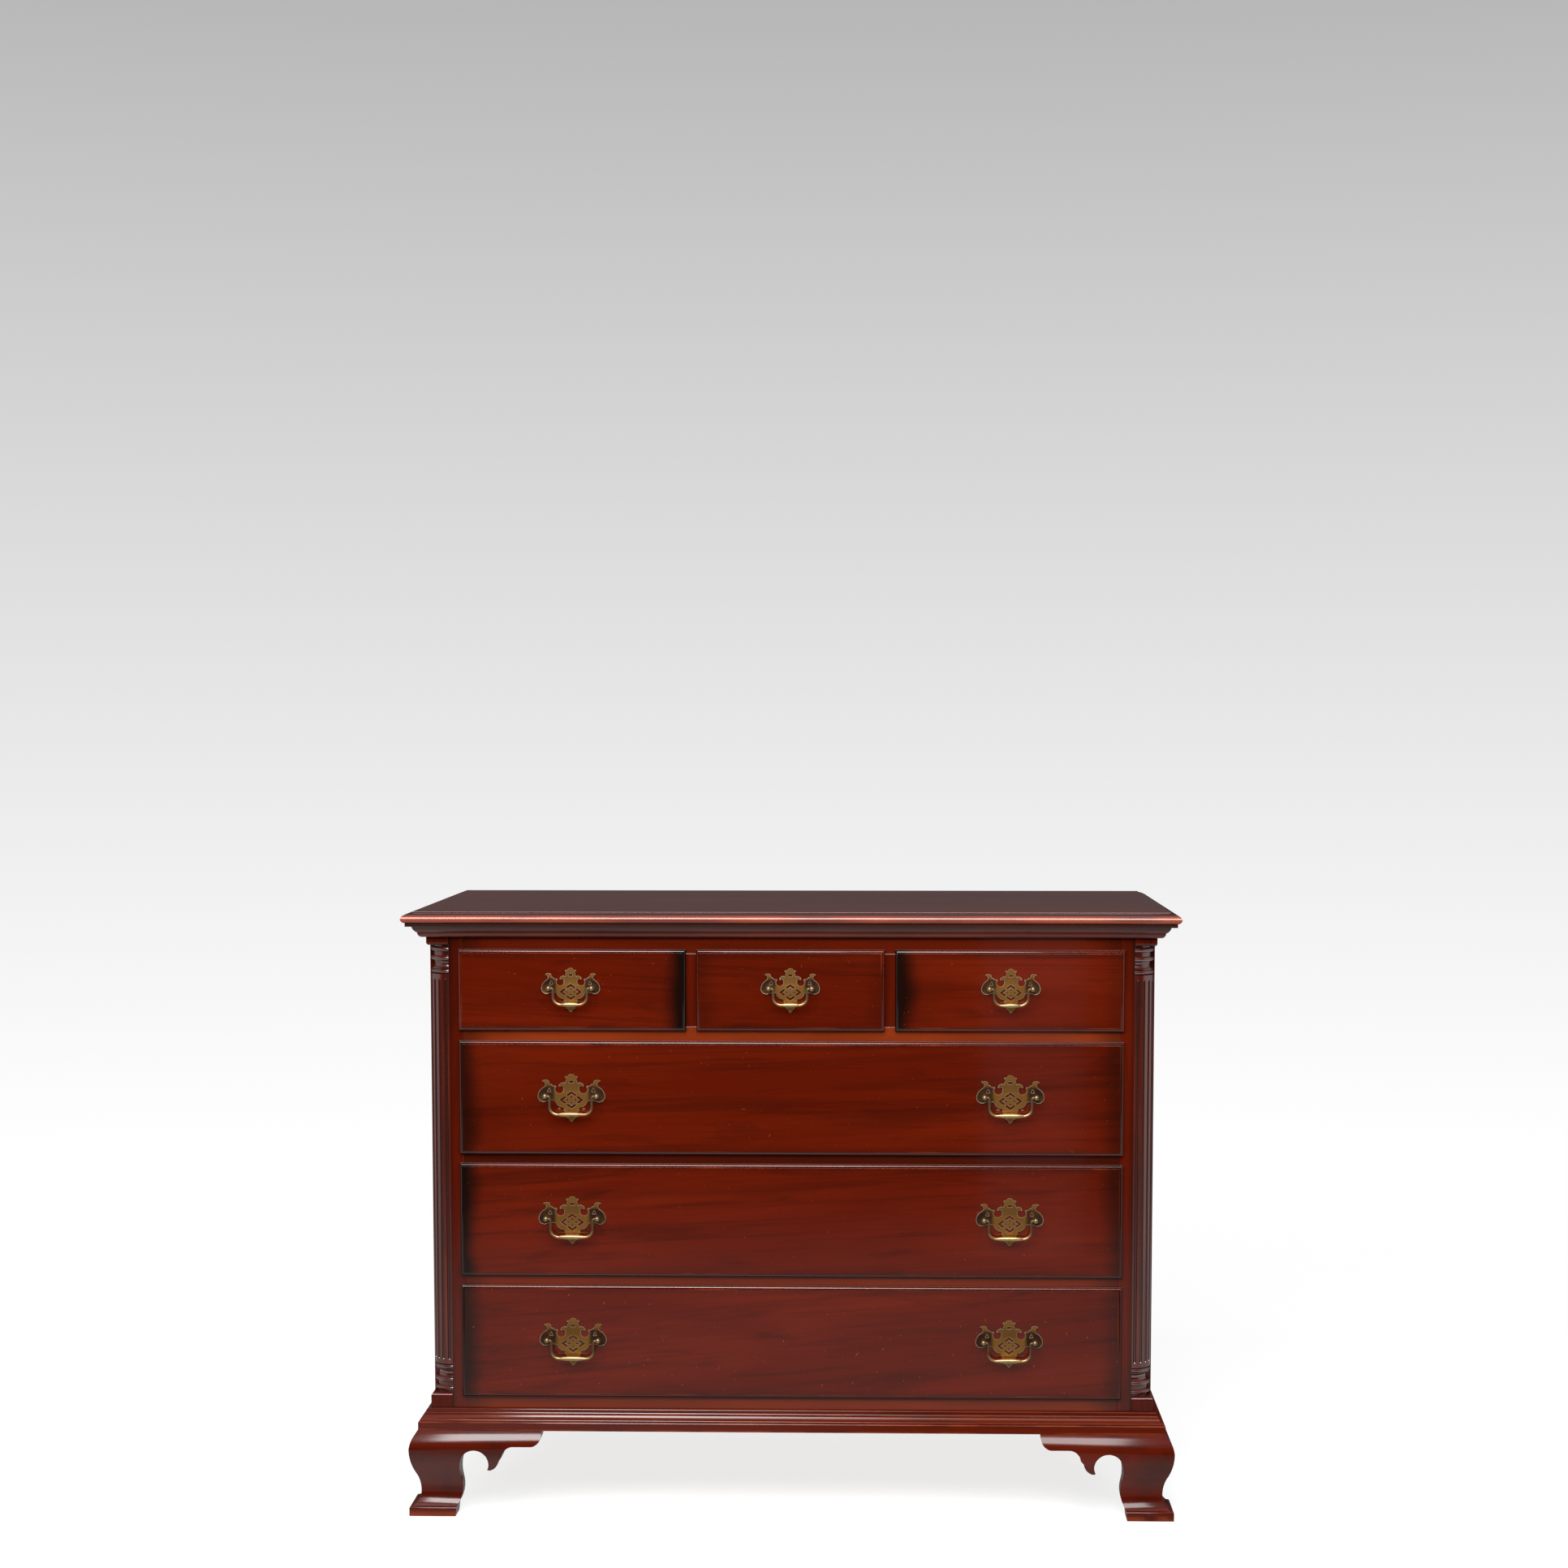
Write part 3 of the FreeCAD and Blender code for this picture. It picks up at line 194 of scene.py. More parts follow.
class Finish:
    """Node tree of a material or of the world."""

    def __init__(self, owner):
        owner.use_nodes = True
        self.owner = owner
        self.tree = owner.node_tree
        self.tree.nodes.clear()

    def node(self, kind, settings=None, values=None, output=0):
        """Add a node: its settings are set first, then the values or links of its sockets."""
        node = self.tree.nodes.new(kind)
        for key, value in (settings or {}).items():
            setattr(node, key, value)
        for key, value in (values or {}).items():
            if isinstance(value, Socket):
                self.tree.links.new(value.output, node.inputs[key])
            else:
                node.inputs[key].default_value = value
        return Socket(self, node.outputs[output]) if node.outputs else None

    def split(self, vector):
        """The three parts of a vector."""
        first = self.node("ShaderNodeSeparateXYZ", values={0: vector})
        return [Socket(self, output) for output in first.output.node.outputs]

    def join(self, *parts):
        return self.node("ShaderNodeCombineXYZ", values=dict(enumerate(parts)))

    def noise(self, vector, scale=1.0, detail=2.0, roughness=0.5, distortion=0.0):
        return self.node("ShaderNodeTexNoise", {"noise_dimensions": "3D"}, {
            "Vector": vector, "Scale": scale, "Detail": detail, "Roughness": roughness,
            "Distortion": distortion,
        })

    def stretch(self, vector, scale):
        return self.node("ShaderNodeVectorMath", {"operation": "MULTIPLY"}, {0: vector, 1: scale})

    def bands(self, line, along, across, **how):
        """Noise drawn out along the grain."""
        return self.noise(self.stretch(line, (along, across, across)), **how)

    def smooth(self, value, low, high):
        """Soft step from zero at low to one at high."""
        return self.node("ShaderNodeMapRange", {"interpolation_type": "SMOOTHSTEP"}, {
            "Value": value, "From Min": low, "From Max": high,
        })

    def ramp(self, value, low, high):
        """Even step from zero at low to one at high."""
        return self.node("ShaderNodeMapRange", values={"Value": value, "From Min": low, "From Max": high})

    def blend(self, factor, first, second):
        """Colour that goes from the first to the second."""
        return self.node("ShaderNodeMix", {"data_type": "RGBA"},
                         {0: factor, 6: colour(first), 7: colour(second)}, output=2)

    def choose(self, factor, first, second):
        """Place that goes from the first to the second."""
        return self.node("ShaderNodeMix", {"data_type": "VECTOR"}, {0: factor, 4: first, 5: second}, output=1)

    def surface(self, **values):
        """Finish the tree with a principled surface."""
        names = (key.replace("_", " ").title().replace("Ior", "IOR") for key in values)
        shader = self.node("ShaderNodeBsdfPrincipled", values=dict(zip(names, values.values())))
        self.node("ShaderNodeOutputMaterial", values={"Surface": shader})
        return self.owner


def colour(value):
    return value if isinstance(value, Socket) else (*value, 1.0)


def material(name):
    return Finish(bpy.data.materials.new(name))


def settings():
    return bpy.context.scene.chest_wood, bpy.context.scene.chest_brass, bpy.context.scene.chest_stage


def rim(value, low, high):
    """Distance to the nearer of two ends."""
    return (value - low).math("MINIMUM", high - value)


def apart(first, second):
    """Length of two offsets at right angles."""
    return (first * first + second * second).math("SQRT")


def dress(node, finish):
    """Give a CAD node its material."""
    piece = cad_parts[node]
    piece.data.materials.clear()
    piece.data.materials.append(finish)


def soften(node, radius):
    """Round a node's sharp edges without touching its mesh."""
    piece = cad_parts[node]
    weld = piece.modifiers.new("joined corners", "WELD")
    weld.merge_threshold = 5e-6
    faces = piece.modifiers.new("whole faces", "DECIMATE")
    faces.decimate_type = "DISSOLVE"
    faces.angle_limit = math.radians(0.2)
    bevel = piece.modifiers.new("sanded edges", "BEVEL")
    bevel.width = radius
    bevel.segments = 3
    bevel.limit_method = "ANGLE"
    bevel.angle_limit = math.radians(89.5)
    crisp = piece.modifiers.new("crisp mitres", "EDGE_SPLIT")
    crisp.split_angle = math.radians(31)
    crisp.use_edge_sharp = False


def along_grain(finish, place, grain, corner=None):
    """Place with the grain's direction first. A mitred length turns its grain at the corner."""
    x, y, z = finish.split(place)
    if grain == "X":
        return place
    if grain == "Z":
        return finish.join(z, x, y)
    turned = finish.join(y, x, z)
    if grain == "Y":
        return turned
    side, front = corner
    return_length = finish.smooth(abs(x) - side + y - front, -0.0005, 0.0005)
    return finish.choose(return_length, place, turned)


def mahogany(name, grain, dark=None, worn_and_lit=None, pale_spots=None, corner=None, marks=0.0, seed=0.0, slope=0.0,
             gloss=0.07, coat=1.0, ior=1.5):
    """Varnished mahogany: broad figure, ribbon, pores, dark toner and painted shade, rubbed places and
    painted light.

    dark, worn_and_lit and pale_spots give the share of toner and painted shade, of rubbed varnish and painted
    light, and of pale spots at a place, and coat can do so too.
    """
    wood, _, _ = settings()
    finish = material(name)
    place = finish.node("ShaderNodeTexCoord", output="Object")
    x, y, z = finish.split(place)
    line = along_grain(finish, place, grain, corner)
    if slope:
        line = finish.join(x, y, z + x * slope)
    shift = (seed, seed * 0.7, seed * 1.3)
    line = finish.node("ShaderNodeVectorMath", {"operation": "ADD"}, {0: line, 1: shift})
    figure = finish.bands(line, 1.3, 9.0, detail=3.0, roughness=0.55, distortion=0.5)
    streak = finish.bands(line, 2.1, 38.0, detail=3.0, roughness=0.55, distortion=0.9)
    flame = finish.bands(line, 4.5, 30.0, detail=2.0, roughness=0.5, distortion=1.6)
    ribbon = finish.bands(line, 2.4, 150.0, detail=3.0, roughness=0.6)
    fibre = finish.bands(line, 16.0, 620.0, detail=2.0)
    pores = finish.smooth(finish.bands(line, 85.0, 1900.0, detail=1.0), 0.6, 0.76)
    shade = finish.blend(finish.smooth(figure, 0.36, 0.68), wood.heart, wood.ember)
    shade = finish.blend(finish.smooth(streak, 0.5, 0.72) * 0.5, shade, wood.umber)
    shade = finish.blend(finish.smooth(flame, 0.55, 0.78) * 0.5, shade, wood.umber)
    shade = finish.blend(finish.smooth(ribbon, 0.5, 0.78) * 0.45, shade, wood.umber)
    shade = finish.blend(finish.smooth(fibre, 0.5, 0.8) * 0.25, shade, wood.umber)
    shade = finish.blend(pores * 0.2, shade, wood.glaze_and_shade)
    # Rubbed varnish, and in places painted light, in the rubbed-varnish colour; then toner, and in places
    # painted shade, in the toner colour.
    if worn_and_lit:
        shade = finish.blend(worn_and_lit(finish, x, y, z), shade, wood.worn_and_lit)
    if dark:
        shade = finish.blend(dark(finish, x, y, z), shade, wood.glaze_and_shade)
    rough = 0.4 + figure * 0.1 + pores * 0.15
    if marks:
        speck = finish.smooth(finish.noise(place, scale=330.0, detail=0.0), 0.85, 0.88)
        scuffs = scratches(finish, place).math("MAXIMUM", speck * 0.6) * marks
        shade = finish.blend(scuffs, shade, wood.scratch)
        rough = rough + scuffs * 0.3
    if pale_spots:
        shade = finish.blend(pale_spots(finish, x, y, z) * 0.8, shade, wood.scratch)
    if callable(coat):
        coat = coat(finish, x, y, z)
    height = ribbon * 0.3 + fibre * 0.2 - pores * 0.45
    bump = finish.node("ShaderNodeBump", values={"Strength": 0.07, "Distance": 0.0003, "Height": height})
    return finish.surface(
        base_color=shade, roughness=rough, specular_ior_level=0.0, normal=bump, coat_weight=coat,
        coat_roughness=gloss, coat_ior=ior,
    )


def scratches(finish, place):
    """Short thin marks of use, most of them upright, scattered in clusters."""
    bend = finish.noise(finish.stretch(place, (1.0, 1.0, 0.35)), scale=30.0, detail=0.0)
    thin = 1.0 - finish.smooth(abs(bend - 0.52), 0.001, 0.005)
    where = finish.smooth(finish.noise(place, scale=76.0, detail=0.0), 0.74, 0.8)
    cross = finish.noise(finish.stretch(place, (1.0, 1.0, 0.6)), scale=24.0, detail=0.0)
    thin_cross = 1.0 - finish.smooth(abs(cross - 0.47), 0.001, 0.004)
    where_cross = finish.smooth(finish.noise(place, scale=92.0, detail=0.0), 0.75, 0.81)
    cluster = finish.smooth(finish.noise(place, scale=5.5, detail=1.0), 0.4, 0.62)
    return (thin * where).math("MAXIMUM", thin_cross * where_cross) * cluster


def polish(strong, weak):
    """Varnish that has stayed glossier on the left."""
    return lambda finish, x, y, z: strong - finish.smooth(x, -0.3, 0.3) * (strong - weak)


def inner_timber(name, grain, split_at=None):
    """Plain pale timber; past a depth along Y its grain can turn to run across."""
    wood, _, _ = settings()
    finish = material(name)
    place = finish.node("ShaderNodeTexCoord", output="Object")
    line = along_grain(finish, place, grain)
    if split_at is not None:
        _, y, _ = finish.split(place)
        behind = finish.smooth(y, split_at - 0.0005, split_at + 0.0005)
        line = finish.choose(behind, line, place)
    rings = finish.bands(line, 1.6, 34.0, detail=4.0, roughness=0.6, distortion=0.3)
    fibre = finish.bands(line, 12.0, 420.0, detail=2.0)
    stain = finish.noise(place, scale=3.2, detail=3.0)
    shade = finish.blend(finish.smooth(rings, 0.42, 0.72), wood.poplar, wood.poplar_dark)
    shade = finish.blend(finish.smooth(fibre, 0.45, 0.85) * 0.35, shade, wood.poplar_dark)
    shade = finish.blend(finish.smooth(stain, 0.55, 0.8) * 0.35, shade, wood.umber)
    rough = 0.62 + fibre * 0.2
    height = fibre + rings * 0.5
    bump = finish.node("ShaderNodeBump", values={"Strength": 0.2, "Distance": 0.0004, "Height": height})
    return finish.surface(base_color=shade, roughness=rough, normal=bump)


def aged_brass(name, body, patina_share, rough_low, dull, relief=None, rims=0.0):
    """Cast brass with patches of tarnish and a fine sanded skin.

    dull gives the share of the patina colour at a place and relief its height. Along rims of the given width
    a pale painted highlight is laid.
    """
    _, brass, _ = settings()
    finish = material(name)
    place = finish.node("ShaderNodeTexCoord", output="Object")
    x, y, z = finish.split(place)
    cloud = finish.noise(place, scale=60.0, detail=3.0, roughness=0.6, distortion=0.3)
    speck = finish.noise(place, scale=520.0, detail=2.0)
    skin = finish.noise(place, scale=1600.0, detail=1.0)
    tarnish = finish.smooth(cloud + speck * 0.1, 0.62 - patina_share * 0.3, 0.92 - patina_share * 0.3) * 0.6
    tarnish = tarnish.math("MAXIMUM", dull(finish, x, y, z) * (0.75 + cloud * 0.4))
    shade = finish.blend(tarnish, body, brass.patina)
    shade = finish.blend(finish.smooth(speck, 0.64, 0.8) * 0.25, shade, brass.patina)
    if rims:
        inside = finish.node("ShaderNodeAmbientOcclusion", {"inside": True, "only_local": True, "samples": 8},
                             {"Distance": rims}, output="AO")
        # Painted highlight along the rims, where rounded edges would catch the light.
        rubbed = finish.smooth(1.0 - inside, 0.15, 0.45) * (0.25 + cloud * 0.9)
        shade = finish.blend(rubbed, shade, brass.edge)
    rough = rough_low + tarnish * 0.12 + speck * 0.08
    skinned = {"Strength": 0.1, "Distance": 0.0002, "Height": cloud * 0.5 + skin * 0.2}
    if relief:
        height = relief(finish, x, y, z)
        skinned["Normal"] = finish.node("ShaderNodeBump", values={"Distance": 0.001, "Height": height})
    bump = finish.node("ShaderNodeBump", values=skinned)
    return finish.surface(
        base_color=shade, roughness=rough, metallic=0.95 - tarnish * 0.1, specular_ior_level=0.0, normal=bump
    )


class CHEST_OT_case(bpy.types.Operator):
    """Varnish the boards, rails, mouldings and feet of the case"""

    bl_idname = "chest.case"
    bl_label = "Case"

    def execute(self, context):
        wood, _, _ = settings()
        corner = (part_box("side_right")[1].x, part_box("post_left")[0].y)
        self.top(corner)
        self.base(corner)
        self.posts(corner)
        self.rails()
        self.sides()
        self.feet(corner)
        for node in ROUNDED:
            soften(node, wood.arris * (FOOT_ROUNDING if node == "front_feet" else 1.0))
        return {"FINISHED"}

    def top(self, corner):
        """Top board and the cornice under it."""
        low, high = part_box("top_board")

        def reach(x, y):
            """Distance out from the step round the top."""
            return (abs(x) - (high.x - TOP_STEP)).math("MAXIMUM", (low.y + TOP_STEP) - y)

        def nose_wear_and_light(finish, x, y, z):
            """Rubbed varnish on the nose round the front and ends of the top, and painted light on its tip
            and underside.
            """
            patch = finish.noise(finish.join(x * 7.0, y * 7.0, z * 60.0), detail=3.0)
            near = finish.smooth(reach(x, y), 0.0095, 0.0145)
            return near * (0.3 + finish.smooth(patch, 0.34, 0.62) * 0.6)

        def top_shade(finish, x, y, z):
            """Toner in clouds over the flat of the top, and darker on the slope down to its nose."""
            cloud = finish.noise(finish.join(x, y, z), scale=3.0, detail=2.0)
            flat = finish.smooth(z, high.z - 0.0012, high.z - 0.0004) * (0.05 + cloud * 0.3)
            out = reach(x, y)
            slope = finish.smooth(out, -0.0005, 0.0005) * (1.0 - finish.smooth(out, 0.0105, 0.0145))
            return flat.math("MAXIMUM", slope * 0.55)

        def cornice_toner_and_shadow(finish, x, y, z):
            """Toner in clouds, and painted shadow along the fillet under the top."""
            cloud = finish.noise(finish.join(x * 4.0, y * 4.0, z * 30.0), detail=2.0)
            fillet = finish.smooth(z, low.z - 0.0065, low.z - 0.0045)
            return (cloud * 0.3).math("MAXIMUM", fillet * 0.8)

        def cornice_wear(finish, x, y, z):
            patch = finish.noise(finish.join(x * 5.0, y * 5.0, z * 50.0), detail=3.0)
            return finish.smooth(patch, 0.35, 0.7) * 0.22

        dress("top_board", mahogany(
            "top_mahogany", "X", dark=top_shade, worn_and_lit=nose_wear_and_light, marks=0.3, gloss=0.09, coat=0.85,
        ))
        dress("cornice_moulding", mahogany(
            "cornice_mahogany", "mitre", dark=cornice_toner_and_shadow, worn_and_lit=cornice_wear, corner=corner, gloss=0.3,
            coat=0.8,
        ))

    def base(self, corner):
        """Moulded base."""
        low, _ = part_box("base_moulding")

        def base_wear_and_light(finish, x, y, z):
            """Scuffed lower arris, fillet and bead, and a redder cove between them that is painted light."""
            patch = finish.noise(finish.join(x * 13.0, y * 13.0, z * 45.0), detail=3.0)
            arris = 1.0 - finish.smooth(z, low.z + 0.001, low.z + 0.0035)
            fillet = 1.0 - finish.smooth(abs(z - (low.z + BASE_FILLET)), 0.0008, 0.002)
            bead = 1.0 - finish.smooth(abs(z - (low.z + BASE_BEAD)), 0.0006, 0.0016)
            lines = arris.math("MAXIMUM", fillet * 0.7).math("MAXIMUM", bead * 0.5)
            cove = finish.smooth(z, low.z + 0.012, low.z + 0.014)
            cove = cove * (1.0 - finish.smooth(z, low.z + 0.02, low.z + 0.023))
            return lines * finish.smooth(patch, 0.4, 0.6) * 0.6 + cove * 0.12 + 0.05

        def base_shade(finish, x, y, z):
            cloud = finish.noise(finish.join(x * 5.0, y * 5.0, z * 40.0), detail=2.0)
            return 0.1 + cloud * 0.3

        dress("base_moulding", mahogany(
            "base_mahogany", "mitre", dark=base_shade, worn_and_lit=base_wear_and_light, corner=corner, gloss=0.1,
            coat=polish(0.9, 0.1),
        ))

    def posts(self, corner):
        """Corner posts, and the blocks above and below the columns."""
        side, front = corner

        def stile_toner_and_shade(finish, x, y, z):
            """Painted shade beside the columns, in their recess and towards the top under the cornice, over a
            light even toner.
            """
            high = finish.smooth(z, 0.7, 0.87) * 0.25
            recess = 1.0 - finish.smooth(y, front + 0.0295, front + 0.032)
            return finish.smooth(abs(x), side - 0.042, side - 0.031) * recess * 0.5 + high + 0.1

        def stile_wear(finish, x, y, z):
            """Edge beside the drawers, rubbed in patches."""
            patch = finish.noise(finish.join(x * 30.0, y * 30.0, z * 7.0), detail=3.0)
            edge = 1.0 - finish.smooth(abs(x), side - 0.0512, side - 0.0495)
            return edge * finish.smooth(patch, 0.42, 0.62) * 0.08

        def block_shade(finish, x, y, z):
            cloud = finish.noise(finish.join(x, y, z), scale=40.0, detail=2.0)
            return 0.15 + cloud * 0.4

        posts = mahogany("post_mahogany", "Z", dark=stile_toner_and_shade, worn_and_lit=stile_wear)
        for node in ("post_left", "post_right"):
            dress(node, posts)
        dress("column_blocks", mahogany("block_mahogany", "Z", dark=block_shade, coat=0.5))

    def rails(self):
        """Rails and the dividers between the small drawers."""
        low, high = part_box("drawer_rails")
        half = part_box("post_right")[0].x

        def rail_toner_and_shadow(finish, x, y, z):
            """Toner where a rail meets the posts, and painted shadow over most of the middle rail under the
            drawer above it.
            """
            middle = 1.0 - finish.smooth(abs(z - (low.z + high.z) / 2), 0.015, 0.025)
            cloud = finish.noise(finish.join(x * 2.0, y * 20.0, z * 20.0), detail=2.0)
            ends = finish.smooth(abs(x), half - 0.05, half) * 0.5
            return ends.math("MAXIMUM", middle * 0.45) + cloud * 0.15

        def rail_wear(finish, x, y, z):
            """The upper drawer rail is rubbed the most."""
            patch = finish.noise(finish.join(x * 6.0, y * 30.0, z * 30.0), detail=3.0)
            upper = finish.smooth(z, high.z - 0.04, high.z - 0.03)
            above = 1.0 - finish.smooth(z, high.z + 0.02, high.z + 0.03)
            lower = 1.0 - finish.smooth(z, low.z + 0.03, low.z + 0.04)
            return (0.04 + upper * above * 0.46 + lower * 0.22) * (0.3 + patch * 1.3)

        rails = mahogany("rail_mahogany", "X", dark=rail_toner_and_shadow, worn_and_lit=rail_wear, seed=2.1)
        for node in ("top_rail", "drawer_rails", "bottom_rail"):
            dress(node, rails)
        dress("drawer_dividers", mahogany("divider_mahogany", "Z", dark=rail_toner_and_shadow, seed=4.7))

    def sides(self):
        boards = mahogany("side_mahogany", "Z", marks=0.15, gloss=0.1, seed=1.3)
        for node in ("side_left", "side_right"):
            dress(node, boards)

    def feet(self, corner):
        """Bracket feet, rubbed along the floor."""

        def foot_shade(finish, x, y, z):
            cloud = finish.noise(finish.join(x, y, z), scale=16.0, detail=3.0)
            return 0.1 + finish.smooth(cloud, 0.4, 0.8) * 0.5

        def foot_wear(finish, x, y, z):
            patch = finish.noise(finish.join(x, y, z), scale=35.0, detail=3.0)
            low = 1.0 - finish.smooth(z, 0.002, 0.011)
            return low * finish.smooth(patch, 0.36, 0.58) * 0.6

        feet = mahogany(
            "foot_mahogany", "mitre", dark=foot_shade, worn_and_lit=foot_wear, corner=corner, gloss=0.17,
            coat=polish(0.75, 0.5),
        )
        for node in ("front_feet", "rear_feet"):
            dress(node, feet)


class CHEST_OT_columns(bpy.types.Operator):
    """Varnish the fluted quarter columns, dark in the flutes and beads"""

    bl_idname = "chest.columns"
    bl_label = "Columns"

    def execute(self, context):
        self.varnish("column_left", 1.9)
        self.varnish("column_right", 2.1)
        return {"FINISHED"}

    def varnish(self, node, ior):
        low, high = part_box(node)
        axis_x = high.x if node == "column_left" else low.x
        radius = high.y - low.y

        def reach(x, y):
            """Distance from the axis of the column."""
            return apart(x - axis_x, y - high.y)

        def hollow(finish, x, y, z):
            """Even darkening on the caps, and more in the flutes of the shaft than on its ridges."""
            shaft = finish.smooth(rim(z, low.z, high.z), 0.03, 0.036)
            flute = 0.75 - finish.smooth(reach(x, y), radius - 0.0022, radius - 0.0004) * 0.4
            return shaft * (flute - 0.3) + 0.3

        def ridge(finish, x, y, z):
            """Ridges between the flutes, rubbed in patches."""
            patch = finish.noise(finish.join(x * 40.0, y * 40.0, z * 9.0), detail=2.0)
            return finish.smooth(reach(x, y), radius - 0.0006, radius) * finish.smooth(patch, 0.45, 0.7) * 0.2

        dress(node, mahogany(
            f"{node}_mahogany", "Z", dark=hollow, worn_and_lit=ridge, seed=axis_x, gloss=0.16, ior=ior,
        ))


class CHEST_OT_drawer_fronts(bpy.types.Operator):
    """Varnish each drawer front, toned dark towards its ends and edges"""

    bl_idname = "chest.drawer_fronts"
    bl_label = "Drawer Fronts"

    def execute(self, context):
        wood, _, _ = settings()
        for index, drawer in enumerate(DRAWERS):
            self.varnish(index, drawer)
            soften(f"{drawer}_front", wood.arris * FRONT_ROUNDING)
        return {"FINISHED"}

    def varnish(self, index, drawer):
        node = f"{drawer}_front"
        low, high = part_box(node)
        left, right = ENDS[drawer]
        line = (low.z + high.z) / 2 + PULL_RISE

        def toned(finish, x, y, z):
            """Toner that fades in from the ends and, more narrowly, from the long edges."""
            cloud = finish.noise(finish.join(x, y, z), scale=11.0, detail=2.0)
            ragged = (cloud - 0.5) * 0.03
            sides = [
                (1.0 - finish.smooth(reach + ragged, 0.006, 0.04)) * share
                + (1.0 - finish.smooth(reach + ragged, 0.02, 0.12)) * (share * 0.22)
                for reach, share in ((x - low.x, left), (high.x - x, right))
            ]
            edges = 1.0 - finish.smooth(rim(z, low.z, high.z) + ragged * 0.4, 0.004, 0.018)
            return sides[0].math("MAXIMUM", sides[1]).math("MAXIMUM", edges * 0.3)

        def lip_wear(finish, x, y, z):
            """Rubbed arris round the raised field."""
            near = rim(x, low.x, high.x).math("MINIMUM", rim(z, low.z, high.z))
            patch = finish.noise(finish.join(x * 12.0, y, z * 12.0), detail=3.0)
            lip = 1.0 - finish.smooth(abs(near - 0.0052), 0.0004, 0.0014)
            return lip * finish.smooth(patch, 0.5, 0.7) * 0.5

        def pull_spots(finish, x, y, z):
            """Pale spots on either side of the middle of each pull, below the line of its posts."""
            along = abs(abs(abs(x) - LONG_PULL) - SPOT_SIDE)
            below = z - line + SPOT_DROP
            ragged = finish.noise(finish.join(x, y, z), scale=420.0, detail=1.0) * 0.0012
            away = (along * along * SPOT_SPREAD + below * below).math("SQRT")
            return 1.0 - finish.smooth(away + ragged, 0.0012, 0.0022)

        lowest = drawer == "long_drawer_lower"
        dress(node, mahogany(
            f"{drawer}_mahogany", "X", dark=toned, worn_and_lit=lip_wear,
            pale_spots=pull_spots if drawer == "long_drawer_upper" else None, marks=0.8 if lowest else 0.4,
            seed=1.7 * index + 0.4, slope=0.05 - 0.025 * index, gloss=0.12 if lowest else 0.07,
        ))


class CHEST_OT_inner_timber(bpy.types.Operator):
    """Give the drawer boxes, runners, dust boards and back their plain timber"""

    bl_idname = "chest.inner_timber"
    bl_label = "Inner Timber"

    def execute(self, context):
        wood, _, _ = settings()
        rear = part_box("long_drawer_upper_box")[1].y - BOX_BACK
        boxes = inner_timber("drawer_box_timber", "Y", split_at=rear)
        bottoms = inner_timber("drawer_bottom_timber", "X")
        for drawer in DRAWERS:
            dress(f"{drawer}_box", boxes)
            dress(f"{drawer}_bottom", bottoms)
            soften(f"{drawer}_box", wood.arris)
        lengths = inner_timber("runner_timber", "Y")
        for node in ("drawer_runners", "drawer_guides", "top_cleats"):
            dress(node, lengths)
            soften(node, wood.arris)
        dress("dust_boards", bottoms)
        dress("back_panel", inner_timber("back_timber", "Z"))
        return {"FINISHED"}


class CHEST_OT_pulls(bpy.types.Operator):
    """Give the back plates, posts and bails their antique brass"""

    bl_idname = "chest.pulls"
    bl_label = "Pulls"

    def execute(self, context):
        for drawer in DRAWERS:
            self.plates_and_posts(drawer)
        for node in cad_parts:
            if "_bail" in node:
                self.bail(node)
        return {"FINISHED"}

    def plates_and_posts(self, drawer):
        _, brass, _ = settings()
        node = f"{drawer}_pull_plates"
        low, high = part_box(node)
        single = drawer in SMALL_DRAWERS
        middle = (low.x + high.x) / 2
        half = (high.x - low.x) / 2 if single else LONG_PLATE_HALF
        out = 0.0 if single else high.x - middle - half
        bore = SMALL_BORE if single else LONG_BORE
        line = low.z + (high.z - low.z) * POST_LINE

        def sideways(x):
            """Distance from the middle of the nearer plate."""
            return abs(abs(x - middle) - out)

        def plate_darkening(finish, x, y, z):
            """Wings round the posts and the body above the lattice are darker than the rest."""
            away = sideways(x)
            wing = finish.smooth(away, half * 0.38, half * 0.56)
            wing = wing * (1.0 - finish.smooth(z, line + 0.012, line + 0.022))
            neck = finish.smooth(z, line + 0.001, line + 0.009)
            neck = neck * (1.0 - finish.smooth(z, line + 0.02, line + 0.028))
            return wing.math("MAXIMUM", neck * (1.0 - finish.smooth(away, half * 0.3, half * 0.45)) * 0.6)

        def dished(finish, x, y, z):
            """Wings sunk round the posts and a low swell over the body."""
            away = sideways(x)
            ring = apart(away - bore, z - line)
            body = apart(away, z - line + 0.007)
            return finish.smooth(ring, 0.006, 0.0125) - finish.smooth(body, 0.002, 0.024) * 0.8

        def shaded(finish, x, y, z):
            """Collars against the plate are duller than the ball heads."""
            return finish.smooth(y, high.y - 0.009, high.y - 0.005) * 0.6 + 0.35

        dress(node, aged_brass(f"{drawer}_plate_brass", brass.plate, 0.3, 0.26, plate_darkening, dished, brass.rim))
        dress(f"{drawer}_pull_posts", aged_brass(f"{drawer}_post_brass", brass.bright, 0.2, 0.3, shaded))

    def bail(self, node):
        _, brass, _ = settings()
        low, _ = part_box(node)

        def gripped(finish, x, y, z):
            """Hands keep the grip brighter than the arms."""
            return finish.smooth(z, low.z + 0.006, low.z + 0.015) * 0.75

        dress(node, aged_brass(f"{node}_brass", brass.bright, 0.2, 0.3, gripped))


